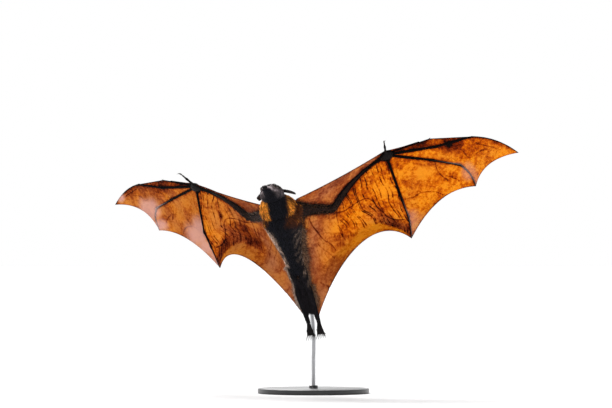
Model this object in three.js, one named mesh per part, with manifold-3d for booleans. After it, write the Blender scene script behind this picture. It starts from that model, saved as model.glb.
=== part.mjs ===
// A flying fox in flight, life size, on a display stand.
// Millimetres, +Z up. The origin is the centre of the stand's foot, on the floor.
// The belly faces -Y and the head is at the top; the bat's left wing reaches to +X.
import * as THREE from 'three';
import { mergeVertices } from 'three/addons/utils/BufferGeometryUtils.js';
import Module from 'manifold-3d';

const wasm = await Module();
wasm.setup();

// ---------------------------------------------------------------- driving dimensions

const GAP = 0.3;                 // clearance between pieces that meet
const SKIN = 0.8;                // thickness of a wing membrane

// The trunk, from the hips up to the middle of the shoulders.
const HIP = new THREE.Vector3(-38, -30, 256);
const SPINE = 118;
const SPINE_HEADING = [104.4, -24];
const BODY_POSE = { turn: -18.4, pitch: 26.4, roll: -7.9 };
const SHOULDER_SPREAD = 25;
const SHOULDER_BACK = 8;

// The head, from a centre between the ears, and the way the muzzle points.
const HEAD_FROM_SHOULDERS = new THREE.Vector3(-20, -25, 41);
const HEAD_POSE = { turn: -20, lift: 17.5, roll: 4 };
const MUZZLE = 38;
const OCCIPUT = 26;
const EYE_RADIUS = 5.6;
const EYE_PLACE = { left: 12.6, up: 7.6, forward: 10.5 };
const EAR_LENGTH = 33;
const EAR_WIDTH = 16;
const EAR_ROOT = { left: 22, up: 3.5, forward: -12 };
const EAR_SWEEP = { left: 0.5, up: 0.1, forward: -0.86 };

// Bone lengths, the same in both wings; each finger is a metacarpal and two phalanges.
const HUMERUS = 98;
const FOREARM = 151;
const FOREARM_BOW = 11;
const THUMB = 38;
const INDEX = 97;
const THUMB_CLAW = 10;
const INDEX_CLAW = 3.5;
const INDEX_LEAD = 3.6;          // how far ahead of the wrist the index starts
const FINGERS = { digit3: [103, 77.5, 105], digit4: [97, 59, 55], digit5: [98, 37.5, 48] };
const FINGER_CURL = 0.55;        // how far the last phalanx starts out along the one before it

// Leg bones.
const FEMUR = 50;
const TIBIA = 72;
const FOOT = 19;
const TOE = 13;
const CLAW = 10.4;
const TOES = 5;

// Half thicknesses along a piece, as [place along it from 0 to 1, half thickness].
const UPPER_ARM_GIRTH = [[0, 20], [0.25, 13], [0.6, 8.6], [1, 7.6]];
const FOREARM_GIRTH = [[0, 7.6], [0.12, 8.4], [0.35, 6.4], [0.6, 4.2], [0.85, 3], [1, 3.6]];
const THIGH_GIRTH = [[0, 12], [0.4, 11.5], [1, 7.5]];
const SHANK_GIRTH = [[0, 7.2], [0.3, 7], [0.7, 5.6], [1, 4.8]];
const BONE_RADIUS = { base: 2.1, tip: 0.7 };
const INDEX_RADIUS = { base: 2, tip: 0.9 };
const INDEX_STATIONS = [0, 0.15, 0.4, 0.58, 0.64, 0.8, 1];
const CLAW_RADIUS = { toe: 1.15, thumb: 1.6, index: 0.9 };
const TAIL_SKIN = 1.6;           // thickness of the web between the legs
const KNUCKLE = 0.7;             // what a finger joint adds to the bone's radius
const WRIST = { across: 9.5, deep: 6.5, back: 13, reach: 13 };

// How each wing is held. A heading is [degrees up from +X, degrees away from the front].
const WINGS = {
  left: {
    side: 1,
    humerus: [3.1, 36.6],
    forearm: [45.3, -3.8],
    thumb: [100, -50],
    indexHeading: [18.6, 12.9],
    digit3: [[9.3, 11.6], [15.8, 9.2], [-18.6, 17.9]],
    digit4: [[-6.3, 15.9], [-9.6, 13.4], [-53, 13.4]],
    digit5: [[-70.1, 13.4], [-69, 16.8], [-82, -23.6]],
    neckEdge: { up: 24, out: 12 },
    slack34: { outer: 0.33, inner: 0.17 },
    slack45: { outer: 0.58, inner: 0.43 },
    leg: { side: 1, thigh: [-70.5, 14], shank: [-72.5, -6], foot: [-82, -28] },
  },
  right: {
    side: -1,
    humerus: [191.7, 63.9],
    forearm: [150.4, 32.7],
    thumb: [140, -14],
    indexHeading: [171, 43.7],
    digit3: [[181.4, 46.3], [172, 48.3], [220.1, 52.1]],
    digit4: [[206.6, 53.3], [208.8, 52.2], [276.6, 33.1]],
    digit5: [[280, 17.4], [293.8, 28.8], [293.6, -12.6]],
    neckEdge: { up: 17, out: 5 },
    slack34: { outer: 0.36, inner: 0.22 },
    slack45: { outer: 0.41, inner: 0.17 },
    leg: { side: -1, thigh: [-72, 14], shank: [-71.5, -6], foot: [-81.5, -28] },
  },
};
const EDGE_PULL = { tipElbow: 0.39, tipWrist: 0.165, ankleElbow: 0.22, ankleWrist: 0.25 };
const ARM_COLUMNS = 10;          // steps of a membrane along the arm
const ELBOW_PLACE = 0.4;         // the elbow's place among them
const ELBOW_CLEAR = 1.7;         // room for a membrane inside the elbow's bend
const ARM_CLEAR = 1.12;          // keeps a membrane's edge clear of the arm's facets
const BILLOW = { digit34: 5, digit45: 9, plagio: 20, pro: 3 };

// The stand.
const FOOT_RADIUS = 112;
const FOOT_HEIGHT = 10;
const FOOT_CHAMFER = 1.5;
const ROD_RADIUS = 4;

// ---------------------------------------------------------------- materials

const finish = (color, roughness, metalness = 0) =>
  new THREE.MeshStandardMaterial({ color, roughness, metalness });

const MATERIALS = {
  blackFur: () => finish(0x1d1719, 0.9),
  greyFur: () => finish(0x4a4245, 0.88),
  brownFur: () => finish(0x5a3018, 0.9),
  membrane: () => finish(0xc4641c, 0.55),
  darkSkin: () => finish(0x33201a, 0.6),
  claw: () => finish(0x17130f, 0.35),
  eye: () => finish(0x1a0e08, 0.08),
  noseSkin: () => finish(0x120f10, 0.4),
  standFoot: () => finish(0x26262a, 0.35, 0.1),
  standRod: () => finish(0x9a9ca0, 0.3, 1),
};

// ---------------------------------------------------------------- geometry helpers

const vec = (x, y, z) => new THREE.Vector3(x, y, z);
const rad = THREE.MathUtils.degToRad;
const { lerp, clamp } = THREE.MathUtils;

// A unit vector from degrees up from +X in the front plane and degrees away from the front.
function heading([up, away]) {
  const flat = Math.cos(rad(away));
  return vec(flat * Math.cos(rad(up)), Math.sin(rad(away)), flat * Math.sin(rad(up)));
}

const step = (from, direction, length) => from.clone().addScaledVector(direction, length);

// The part of a direction that is square to an axis, as a unit vector.
const square = (direction, axis) =>
  direction.clone().addScaledVector(axis, -direction.dot(axis)).normalize();

// A smooth value along a list of [place, value] stops.
function along(stops, s) {
  const last = stops.length - 1;
  const k = clamp(stops.findIndex(([at]) => at > s) - 1, 0, last - 1);
  const [a, from] = stops[s >= stops[last][0] ? last - 1 : k];
  const [b, to] = stops[s >= stops[last][0] ? last : k + 1];
  return lerp(from, to, THREE.MathUtils.smoothstep(s, a, b));
}

const evenly = (count) => Array.from({ length: count + 1 }, (_, i) => i / count);

// A closed body along a path: a sphere's rings moved onto the path's stations. A section gives
// the half sizes to the side, over and under, and the poles close the ends in low cones.
function limb(path, section, { sides, stations, side, cap = 0.5 }) {
  const rings = stations.length + 1;
  const geometry = new THREE.SphereGeometry(1, sides, rings);
  const position = geometry.attributes.position;
  const frames = stations.map((s) => {
    const centre = path.getPoint(s);
    const before = path.getPoint(Math.max(0, s - 0.01));
    const axis = path.getPoint(Math.min(1, s + 0.01)).sub(before).normalize();
    const across = square(side, axis);
    return { centre, axis, across, over: axis.clone().cross(across), size: section(s) };
  });
  for (let i = 0; i < position.count; i += 1) {
    const polar = Math.acos(clamp(position.getY(i), -1, 1)) / Math.PI;
    const ring = Math.round(polar * rings);
    const frame = frames[clamp(ring - 1, 0, frames.length - 1)];
    const reach = ring === 0 ? -cap : cap;
    const point = frame.centre.clone();
    if (ring === 0 || ring === rings) {
      point.addScaledVector(frame.axis, reach * Math.min(frame.size.side, frame.size.over));
    } else {
      const angle = Math.atan2(position.getZ(i), position.getX(i));
      const height = Math.sin(angle);
      point.addScaledVector(frame.across, frame.size.side * Math.cos(angle));
      point.addScaledVector(frame.over, (height > 0 ? frame.size.over : frame.size.under) * height);
    }
    position.setXYZ(i, point.x, point.y, point.z);
  }
  return welded(geometry);
}

// A round section, or a flattened one, for limb().
const round = (radius, flat = 1) => ({ side: radius, over: radius * flat, under: radius * flat });

// A closed sheet of even thickness over a grid of points.
function sheet(columns, rows, pointAt, thickness = SKIN) {
  const geometry = new THREE.BoxGeometry(1, 1, 1, columns, rows, 1);
  const position = geometry.attributes.position;
  const grid = Array.from({ length: columns + 1 }, (_, i) =>
    Array.from({ length: rows + 1 }, (_unused, j) => pointAt(i, j)));
  const normalAt = (i, j) => {
    const alongColumns = grid[Math.min(i + 1, columns)][j].clone().sub(grid[Math.max(i - 1, 0)][j]);
    const alongRows = grid[i][Math.min(j + 1, rows)].clone().sub(grid[i][Math.max(j - 1, 0)]);
    return alongColumns.cross(alongRows).normalize();
  };
  for (let k = 0; k < position.count; k += 1) {
    const i = Math.round((position.getX(k) + 0.5) * columns);
    const j = Math.round((position.getY(k) + 0.5) * rows);
    const point = step(grid[i][j], normalAt(i, j), Math.sign(position.getZ(k)) * thickness / 2);
    position.setXYZ(k, point.x, point.y, point.z);
  }
  alignDiagonals(geometry.index, geometry.groups[5]);
  return welded(geometry);
}

// Cuts a sheet's under face along the same diagonals as its upper one, so that twisted cells keep
// their thickness.
function alignDiagonals(index, { start, count }) {
  for (let k = start; k < start + count; k += 6) {
    const [a, b, d, , c] = [0, 1, 2, 3, 4].map((corner) => index.getX(k + corner));
    [a, b, c, a, c, d].forEach((corner, place) => index.setX(k + place, corner));
  }
}

function welded(geometry) {
  geometry.deleteAttribute('normal');
  geometry.deleteAttribute('uv');
  return mergeVertices(geometry, 1e-4);
}

function toSolid(geometry) {
  const vertProperties = new Float32Array(geometry.attributes.position.array);
  const triVerts = new Uint32Array(geometry.index.array);
  return new wasm.Manifold(new wasm.Mesh({ numProp: 3, vertProperties, triVerts }));
}

function toGeometry(solid) {
  const mesh = solid.getMesh();
  const geometry = new THREE.BufferGeometry();
  geometry.setAttribute('position', new THREE.BufferAttribute(new Float32Array(mesh.vertProperties), 3));
  geometry.setIndex(new THREE.BufferAttribute(new Uint32Array(mesh.triVerts), 1));
  return geometry;
}

// What is left of a body once its neighbours' space is cut away: its largest piece.
function carve(geometry, tools) {
  const cut = tools.reduce((body, tool) => body.subtract(toSolid(tool)), toSolid(geometry));
  const pieces = cut.decompose().sort((a, b) => b.volume() - a.volume());
  return toGeometry(pieces[0]);
}

const join = (geometries) => toGeometry(geometries.map(toSolid).reduce((a, b) => a.add(b)));

// ---------------------------------------------------------------- assembly

const model = new THREE.Group();
model.name = 'flying_fox';

function groupOf(name) {
  const group = new THREE.Group();
  group.name = name;
  model.add(group);
  return group;
}

// Adds a piece whose own origin is at its anchor.
function place(group, name, geometry, material, anchor) {
  geometry.translate(-anchor.x, -anchor.y, -anchor.z);
  geometry.computeVertexNormals();
  const mesh = new THREE.Mesh(geometry, material);
  mesh.name = name;
  mesh.position.copy(anchor);
  group.add(mesh);
}

// ---------------------------------------------------------------- body and head frames

const bodyTurn = new THREE.Euler(rad(BODY_POSE.pitch), rad(BODY_POSE.roll), rad(BODY_POSE.turn), 'ZXY');
const bodyLeft = vec(1, 0, 0).applyEuler(bodyTurn);
const bodyBack = vec(0, 1, 0).applyEuler(bodyTurn);
const shoulders = step(HIP, heading(SPINE_HEADING), SPINE);

const muzzleAway = vec(0, -1, 0);
muzzleAway.applyAxisAngle(vec(1, 0, 0), -rad(HEAD_POSE.lift));
const headForward = muzzleAway.applyAxisAngle(vec(0, 0, 1), rad(HEAD_POSE.turn)).normalize();
const headLeft = square(vec(Math.cos(rad(HEAD_POSE.roll)), 0, Math.sin(rad(HEAD_POSE.roll))), headForward);
const headUp = headForward.clone().cross(headLeft);
const headCentre = shoulders.clone().add(HEAD_FROM_SHOULDERS);

// A point in the head's own frame.
function inHead({ left, up, forward }, side = 1) {
  const point = headCentre.clone().addScaledVector(headLeft, left * side);
  return point.addScaledVector(headUp, up).addScaledVector(headForward, forward);
}

// ---------------------------------------------------------------- stand

const rodPath = new THREE.CatmullRomCurve3([
  vec(0, 0, FOOT_HEIGHT - 6),
  vec(0, 0, 60),
  vec(0, 0, 120),
  vec(-6, -2, 175),
  vec(-20, -12, 218),
  vec(-35, -26, 250),
]);

function rodGeometry(radius) {
  const shape = new THREE.Shape();
  shape.absarc(0, 0, radius, 0, 2 * Math.PI);
  const geometry = new THREE.ExtrudeGeometry(shape, {
    extrudePath: rodPath,
    steps: 12,
    curveSegments: 4,
    bevelEnabled: false,
  });
  return welded(geometry);
}

function standFoot() {
  const profile = [
    new THREE.Vector2(0, 0),
    new THREE.Vector2(FOOT_RADIUS - FOOT_CHAMFER, 0),
    new THREE.Vector2(FOOT_RADIUS, FOOT_CHAMFER),
    new THREE.Vector2(FOOT_RADIUS, FOOT_HEIGHT - FOOT_CHAMFER),
    new THREE.Vector2(FOOT_RADIUS - FOOT_CHAMFER, FOOT_HEIGHT),
    new THREE.Vector2(0, FOOT_HEIGHT),
  ];
  const geometry = new THREE.LatheGeometry(profile, 36).rotateX(Math.PI / 2);
  return carve(welded(geometry), [rodGeometry(ROD_RADIUS + GAP)]);
}

const stand = groupOf('stand');
place(stand, 'stand_foot', standFoot(), MATERIALS.standFoot(), vec(0, 0, 0));
place(stand, 'stand_rod', rodGeometry(ROD_RADIUS), MATERIALS.standRod(), vec(0, 0, FOOT_HEIGHT));

// ---------------------------------------------------------------- trunk, neck and head

// Half sizes of the trunk from the rump to the shoulders, fur included.
const TRUNK_WIDTH = [[0, 13], [0.12, 22], [0.3, 25.5], [0.55, 34.5], [0.72, 41], [0.86, 43], [1, 27]];
const TRUNK_BACK = [[0, 9], [0.12, 16], [0.35, 21], [0.65, 25], [0.86, 25], [1, 15]];
const TRUNK_BELLY = [[0, 9], [0.12, 15], [0.35, 22], [0.7, 31], [0.86, 31], [1, 18]];
const RUMP = 16;                 // how far the trunk reaches past the hips
const NAPE = 12;                 // and past the middle of the shoulders

const spineWay = heading(SPINE_HEADING);
const trunkPath = new THREE.QuadraticBezierCurve3(
  step(HIP, heading([-64, 10]), RUMP),
  step(step(HIP, spineWay, SPINE * 0.45), bodyLeft, -2),
  step(shoulders, spineWay, NAPE),
);
const trunkSection = (grow) => (s) => ({
  side: along(TRUNK_WIDTH, s) + grow,
  over: along(TRUNK_BACK, s) + grow,
  under: along(TRUNK_BELLY, s) + grow,
});
const trunkShape = (grow = 0) =>
  limb(trunkPath, trunkSection(grow), { sides: 18, stations: evenly(10), side: bodyLeft, cap: 0.5 });

// Half sizes of the head from the back of the skull to the nose.
const HEAD_WIDTH = [[0, 12], [0.12, 20], [0.28, 24], [0.45, 23], [0.58, 18.5], [0.72, 12.5], [1, 8.2]];
const HEAD_CROWN = [[0, 9], [0.14, 16.5], [0.34, 20], [0.5, 18.5], [0.62, 13.4], [0.76, 9.2], [1, 6.2]];
const HEAD_JAW = [[0, 10], [0.14, 16], [0.35, 19], [0.55, 17], [0.7, 13], [0.88, 10], [1, 6]];

const headPath = new THREE.LineCurve3(
  inHead({ left: 0, up: 0, forward: -OCCIPUT }),
  inHead({ left: 0, up: 0, forward: MUZZLE - 3 }),
);
const headSection = (grow) => (s) => ({
  side: along(HEAD_WIDTH, s) + grow,
  over: along(HEAD_CROWN, s) + grow,
  under: along(HEAD_JAW, s) + grow,
});
const headShape = (grow = 0) =>
  limb(headPath, headSection(grow), { sides: 14, stations: evenly(11), side: headLeft, cap: 0.35 });

const neckPath = new THREE.QuadraticBezierCurve3(
  inHead({ left: 0, up: -3, forward: -8 }),
  inHead({ left: 0, up: -12, forward: -26 }),
  step(shoulders, spineWay, -8),
);
const NECK_WIDTH = [[0, 23], [0.45, 36.5], [1, 34]];
const NECK_DEPTH = [[0, 17], [0.45, 25], [1, 20]];
const neckShape = (grow = 0) => limb(
  neckPath,
  (s) => ({
    side: along(NECK_WIDTH, s) + grow,
    over: along(NECK_DEPTH, s) + grow,
    under: along(NECK_DEPTH, s) + grow,
  }),
  { sides: 12, stations: evenly(3), side: bodyLeft },
);

function eyeShape(side, grow = 0) {
  const centre = inHead(EYE_PLACE, side);
  return welded(new THREE.SphereGeometry(EYE_RADIUS + grow, 10, 6)).translate(centre.x, centre.y, centre.z);
}

// The nose pad: two nostril swellings joined at the middle.
function noseShape(grow = 0) {
  const swelling = (side) => {
    const from = inHead({ left: 0.6 * side, up: 0.6, forward: MUZZLE - 4.5 });
    const to = inHead({ left: 2.9 * side, up: 0.9, forward: MUZZLE });
    return limb(
      new THREE.LineCurve3(from, to),
      (s) => round(lerp(4.2, 3, s) + grow),
      { sides: 8, stations: evenly(2), side: headLeft },
    );
  };
  return join([swelling(1), swelling(-1)]);
}

// An ear is a pointed leaf, folded into a trough that opens down and out.
function earShape(side) {
  const root = inHead(EAR_ROOT, side);
  const way = inHead(EAR_SWEEP, side).sub(headCentre).normalize();
  const opening = square(inHead({ left: 0, up: -1, forward: -0.34 }, side).sub(headCentre), way);
  const across = opening.clone().cross(way);
  const columns = 4;
  const rows = 6;
  return sheet(columns, rows, (i, j) => {
    const t = j / rows;
    const fold = (i / columns - 0.5) * lerp(3.6, 1.7, t);
    const half = (EAR_WIDTH / 2) * (0.72 + 0.9 * t) * (1 - t ** 2.2) + 0.7;
    return step(root, way, EAR_LENGTH * t)
      .addScaledVector(across, half * Math.sin(fold) / Math.sin(Math.min(1.57, lerp(1.8, 0.85, t))))
      .addScaledVector(opening, 3 * t * t - half * lerp(0.6, 0.25, t) * Math.cos(fold));
  }, 1.1);
}

// ---------------------------------------------------------------- wings

// A finger's or arm's path: straight bones, with the last one curved on from the one before.
function fingerPath(start, lengths, headings) {
  const path = new THREE.CurvePath();
  let from = start;
  let way = null;
  lengths.forEach((length, i) => {
    const next = heading(headings[i]);
    const to = step(from, next, length);
    if (i === lengths.length - 1 && way) {
      const bend = next.clone().lerp(way, FINGER_CURL).normalize();
      path.add(new THREE.QuadraticBezierCurve3(from, step(from, bend, length * 0.5), to));
    } else {
      path.add(new THREE.LineCurve3(from, to));
    }
    from = to;
    way = next;
  });
  return path;
}

// Stations along a path of bones: on each side of a joint, with a spare one on the curved tip.
function boneStations(path) {
  const ends = path.getCurveLengths();
  const total = ends[ends.length - 1];
  const stations = [];
  ends.forEach((end, i) => {
    const start = i ? ends[i - 1] : 0;
    const inside = i === ends.length - 1 ? [0.12, 0.5, 0.85] : [i ? 0.1 : 0.24, 0.9];
    stations.push(start / total, ...inside.map((s) => lerp(start, end, s) / total));
  });
  stations.push(1);
  return stations;
}

// A finger bone's radius: tapered, and thicker at each joint.
function fingerRadius(path) {
  const ends = path.getCurveLengths();
  const total = ends[ends.length - 1];
  return (s) => {
    const knuckle = ends.slice(0, -1).some((end) => Math.abs(end / total - s) < 1e-6) ? KNUCKLE : 0;
    return lerp(BONE_RADIUS.base, BONE_RADIUS.tip, s) + knuckle;
  };
}

const fingerShape = (path, radius, side, grow = 0) => limb(
  path,
  (s) => round(radius(s) + grow),
  { sides: 6, stations: boneStations(path), side },
);

// A finger's edge of a membrane: beside the bone, on the side that a neighbour is on.
function besideFinger(finger, neighbour, stations, neighbourStations) {
  return stations.map((s, k) => {
    const point = finger.path.getPoint(s);
    const before = finger.path.getPoint(Math.max(0, s - 0.01));
    const axis = finger.path.getPoint(Math.min(1, s + 0.01)).sub(before).normalize();
    const across = square(neighbour.path.getPoint(neighbourStations[k]).sub(point), axis);
    const reach = (finger.radius(s) + GAP) / Math.cos(Math.PI / 6);
    return point.addScaledVector(across, reach);
  });
}

// A membrane between two fingers, with a free edge that sags towards the hand.
function webShape(first, second, slack, billow, wing, skip) {
  const stations = boneStations(first.path).slice(skip);
  const others = boneStations(second.path).slice(skip);
  const edgeA = besideFinger(first, second, stations, others);
  const edgeB = besideFinger(second, first, others, stations);
  const rows = stations.length - 1;
  const columns = 4;
  const middle = edgeA[rows].clone().lerp(edgeB[rows], 0.5);
  const pull = vec(0, 0, 0)
    .addScaledVector(first.lastJoint.clone().sub(middle), slack.outer)
    .addScaledVector(second.lastJoint.clone().sub(middle), slack.inner);
  return sheet(columns, rows, (i, j) => {
    const t = i / columns;
    const crown = 4 * t * (1 - t);
    const width = edgeA[j].distanceTo(edgeB[j]) / edgeA[rows].distanceTo(edgeB[rows]);
    return edgeA[j].clone().lerp(edgeB[j], t)
      .addScaledVector(pull, 0.5 * crown * (j / rows) ** 3)
      .addScaledVector(wing.back, billow * crown * width);
  });
}

// The membrane from the index finger back to the long third finger. Beyond the index its free
// edge runs straight to the third finger's last joint.
function indexWebShape(index, third, way) {
  const rows = 8;
  const indexRow = 5;
  const lastJoint = third.jointPlaces[2];
  const reach = step(third.lastJoint, square(index.tip.clone().sub(third.lastJoint), way), 3.2);
  return sheet(2, rows, (i, j) => {
    const onThird = third.path.getPoint(lerp(0.06, lastJoint, j / rows));
    const onIndex = index.path.getPoint(lerp(0.15, 1, Math.min(1, j / indexRow)));
    const across = square(onIndex.clone().sub(onThird), way);
    onIndex.addScaledVector(across, -(BONE_RADIUS.base + 2 * GAP));
    if (j > indexRow) onIndex.lerp(reach, (j - indexRow) / (rows - indexRow));
    onThird.addScaledVector(across, third.radius(0) + 2 * GAP);
    return onThird.lerp(onIndex, i / 2);
  });
}

function buildFinger(start, lengths, headings) {
  const path = fingerPath(start, lengths, headings);
  const lastJoint = path.curves[path.curves.length - 1].getPoint(0);
  const ends = path.getCurveLengths();
  const jointPlaces = [0, ...ends.map((end) => end / ends[ends.length - 1])];
  return { path, radius: fingerRadius(path), lastJoint, jointPlaces, tip: path.getPoint(1) };
}

// The joints and paths of one wing.
function wingFrame(pose) {
  const { side } = pose;
  const shoulder = step(step(shoulders, bodyLeft, SHOULDER_SPREAD * side), bodyBack, SHOULDER_BACK);
  const elbow = step(shoulder, heading(pose.humerus), HUMERUS);
  const forearmWay = heading(pose.forearm);
  const wrist = step(elbow, forearmWay, FOREARM);
  const fingers = Object.fromEntries(
    Object.entries(FINGERS).map(([name, lengths]) => [name, buildFinger(wrist, lengths, pose[name])]),
  );
  const spread = fingers.digit5.tip.clone().sub(elbow).cross(fingers.digit3.tip.clone().sub(elbow));
  const back = spread.multiplyScalar(-side).normalize();
  const lead = square(wrist.clone().sub(fingers.digit5.tip), forearmWay);
  const bow = step(elbow.clone().lerp(wrist, 0.5), lead, 2 * FOREARM_BOW);
  const index = buildFinger(step(wrist, lead, INDEX_LEAD), [INDEX], [pose.indexHeading]);
  const forearmPath = new THREE.QuadraticBezierCurve3(elbow, bow, wrist);
  const upperArmPath = new THREE.LineCurve3(shoulder, elbow);
  return { ...pose, shoulder, elbow, wrist, fingers, index, back, lead, forearmPath, upperArmPath };
}

const upperArmShape = (wing, grow = 0) => limb(
  wing.upperArmPath,
  (s) => round(along(UPPER_ARM_GIRTH, s) + grow, 0.85),
  { sides: 8, stations: evenly(4), side: wing.lead },
);

const forearmShape = (wing, grow = 0) => limb(
  wing.forearmPath,
  (s) => round(along(FOREARM_GIRTH, s) + grow, 0.85),
  { sides: 8, stations: evenly(8), side: wing.lead },
);

function wristShape(wing, grow = 0) {
  const path = new THREE.QuadraticBezierCurve3(
    step(wing.wrist, heading(wing.forearm), -WRIST.back),
    wing.wrist,
    step(wing.wrist, heading(wing.digit3[0]), WRIST.reach),
  );
  const stops = [[0, 0.42], [0.3, 0.85], [0.55, 1], [0.8, 0.9], [1, 0.55]];
  return limb(
    path,
    (s) => ({
      side: WRIST.across * along(stops, s) + grow,
      over: WRIST.deep * along(stops, s) + grow,
      under: WRIST.deep * along(stops, s) + grow,
    }),
    { sides: 8, stations: evenly(5), side: wing.lead },
  );
}

// A hooked claw at the end of a digit.
function clawShape(from, way, hook, length, radius) {
  const middle = step(from, way, length * 0.6);
  const tip = step(step(from, way, length * 0.75), hook, length * 0.5);
  return limb(
    new THREE.QuadraticBezierCurve3(from, middle, tip),
    (s) => round(lerp(radius, 0.35, s)),
    { sides: 5, stations: evenly(3), side: hook.clone().cross(way), cap: 0.4 },
  );
}

// The thumb's two bones as one limb, and the claw beyond it.
const thumbPath = (wing) => new THREE.LineCurve3(
  step(wing.wrist, heading(wing.thumb), 4),
  step(wing.wrist, heading(wing.thumb), THUMB),
);
const thumbShape = (wing, grow = 0) => limb(
  thumbPath(wing),
  (s) => round(lerp(3.4, 1.7, s) + (Math.abs(s - 0.6) < 0.01 ? 0.5 : 0) + grow),
  { sides: 6, stations: [0, 0.5, 0.6, 0.7, 1], side: wing.lead },
);

// A point of a membrane's edge beside the arm, ahead of it (1) or behind it (-1).
function armEdge(wing, placeAlong, edgeSide) {
  const onElbow = Math.abs(placeAlong - ELBOW_PLACE) < 1e-6;
  const upper = placeAlong < ELBOW_PLACE;
  const s = upper ? placeAlong / ELBOW_PLACE : (placeAlong - ELBOW_PLACE) / (1 - ELBOW_PLACE);
  const path = upper ? wing.upperArmPath : wing.forearmPath;
  const girth = along(upper ? UPPER_ARM_GIRTH : FOREARM_GIRTH, s);
  const axis = path.getTangent(s);
  if (onElbow) axis.add(wing.upperArmPath.getTangent(1)).normalize();
  const clear = onElbow && edgeSide > 0 ? ELBOW_CLEAR : ARM_CLEAR;
  return step(path.getPoint(s), square(wing.lead, axis), edgeSide * (girth + GAP) * clear);
}

// The membrane ahead of the arm, from the side of the neck to the root of the thumb.
function propatagiumShape(wing) {
  const neckSide = step(wing.shoulder, spineWay, wing.neckEdge.up);
  const neckEnd = step(neckSide, bodyLeft, wing.neckEdge.out * wing.side);
  const thumbEnd = step(wing.wrist, heading(wing.thumb), 13);
  const chord = thumbEnd.distanceTo(neckEnd);
  const middle = neckEnd.clone().lerp(thumbEnd, 0.5).addScaledVector(wing.lead, -0.03 * chord);
  const edge = new THREE.QuadraticBezierCurve3(neckEnd, middle, thumbEnd);
  const rows = 2;
  return sheet(ARM_COLUMNS, rows, (i, j) => {
    const t = j / rows;
    return armEdge(wing, i / ARM_COLUMNS, 1).lerp(edge.getPoint(i / ARM_COLUMNS), t)
      .addScaledVector(wing.back, BILLOW.pro * 4 * t * (1 - t));
  });
}

// The small membrane between the thumb and the index finger.
function thumbWebShape(wing) {
  const thumb = thumbPath(wing);
  const columns = 6;
  return sheet(columns, 2, (i, j) => {
    const t = i / columns;
    const across = square(thumb.getPoint(0.5).sub(wing.wrist), heading(wing.indexHeading));
    const onIndex = wing.index.path.getPoint(lerp(0.12, 0.78, t));
    onIndex.addScaledVector(across, BONE_RADIUS.base + 2 * GAP);
    const edge = thumb.getPoint(0.3).lerp(wing.index.path.getPoint(0.78).addScaledVector(across, 3.6), t);
    return onIndex.lerp(edge, j / 2);
  });
}

// The membrane from the arm and the little finger to the flank and the leg.
function plagiopatagiumShape(wing, leg) {
  const { digit5 } = wing.fingers;
  const stations = boneStations(digit5.path).slice(1);
  const rows = stations.length - 1;
  const outer = stations.map((s) => {
    const point = digit5.path.getPoint(s);
    const before = digit5.path.getPoint(Math.max(0, s - 0.01));
    const axis = digit5.path.getPoint(Math.min(1, s + 0.01)).sub(before).normalize();
    const across = square(wing.elbow.clone().sub(point), axis);
    return step(point, across, (digit5.radius(s) + GAP) * 1.3);
  });
  const flank = (t) => {
    const middle = step(trunkPath.getPoint(lerp(0.85, 0.2, t)), bodyBack, 5);
    return step(middle, bodyLeft, wing.side * 14);
  };
  const innerPath = new THREE.CurvePath();
  const waist = flank(1);
  innerPath.add(new THREE.CatmullRomCurve3([wing.shoulder, flank(0.2), flank(0.6), waist]));
  innerPath.add(new THREE.LineCurve3(waist, leg.knee));
  innerPath.add(new THREE.LineCurve3(leg.knee, leg.shankEnd));
  const inner = Array.from({ length: rows + 1 }, (_, j) => innerPath.getPoint(j / rows));
  const tip = outer[rows];
  const ankle = inner[rows];
  const handle = (from, elbowPull, wristPull) => from.clone()
    .addScaledVector(wing.elbow.clone().sub(from), elbowPull)
    .addScaledVector(wing.wrist.clone().sub(from), wristPull);
  const trail = new THREE.CubicBezierCurve3(
    ankle,
    handle(ankle, EDGE_PULL.ankleElbow, EDGE_PULL.ankleWrist),
    handle(tip, EDGE_PULL.tipElbow, EDGE_PULL.tipWrist),
    tip,
  );
  return sheet(ARM_COLUMNS, rows, (i, j) => {
    const u = i / ARM_COLUMNS;
    const v = j / rows;
    const point = inner[j].clone().multiplyScalar(1 - u).addScaledVector(outer[j], u);
    point.addScaledVector(armEdge(wing, Math.min(u, 0.985), -1), 1 - v).addScaledVector(trail.getPoint(u), v);
    point.addScaledVector(inner[0], -(1 - u) * (1 - v)).addScaledVector(outer[0], -u * (1 - v));
    point.addScaledVector(ankle, -(1 - u) * v).addScaledVector(tip, -u * v);
    return point.addScaledVector(wing.back, BILLOW.plagio * 16 * u * (1 - u) * v * (1 - v));
  });
}

// ---------------------------------------------------------------- legs

function legFrame(pose) {
  const hip = step(step(HIP, bodyLeft, 11 * pose.side), bodyBack, 2);
  const knee = step(hip, heading(pose.thigh), FEMUR);
  const ankle = step(knee, heading(pose.shank), TIBIA);
  const shankEnd = step(knee, heading(pose.shank), TIBIA - 6);
  return { ...pose, hip, knee, ankle, shankEnd };
}

const thighShape = (leg, grow = 0) => limb(
  new THREE.LineCurve3(leg.hip, leg.knee),
  (s) => round(along(THIGH_GIRTH, s) + grow, 1),
  { sides: 8, stations: evenly(3), side: bodyLeft },
);

const shankShape = (leg, grow = 0) => limb(
  new THREE.LineCurve3(leg.knee, leg.ankle),
  (s) => round(along(SHANK_GIRTH, s) + grow, 1),
  { sides: 8, stations: evenly(4), side: bodyLeft },
);

const toeSpread = (toe) => (toe / (TOES - 1) - 0.5);

function toePath(leg, toe) {
  const way = heading(leg.foot);
  const heel = step(leg.ankle, way, FOOT - 3);
  const spread = toeSpread(toe);
  const from = step(heel, bodyLeft, spread * 11);
  const bow = step(step(from, way, TOE * 0.55), bodyBack, 2.5);
  return new THREE.QuadraticBezierCurve3(from, bow, step(step(bow, way, TOE * 0.5), bodyLeft, spread * 4));
}

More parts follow.
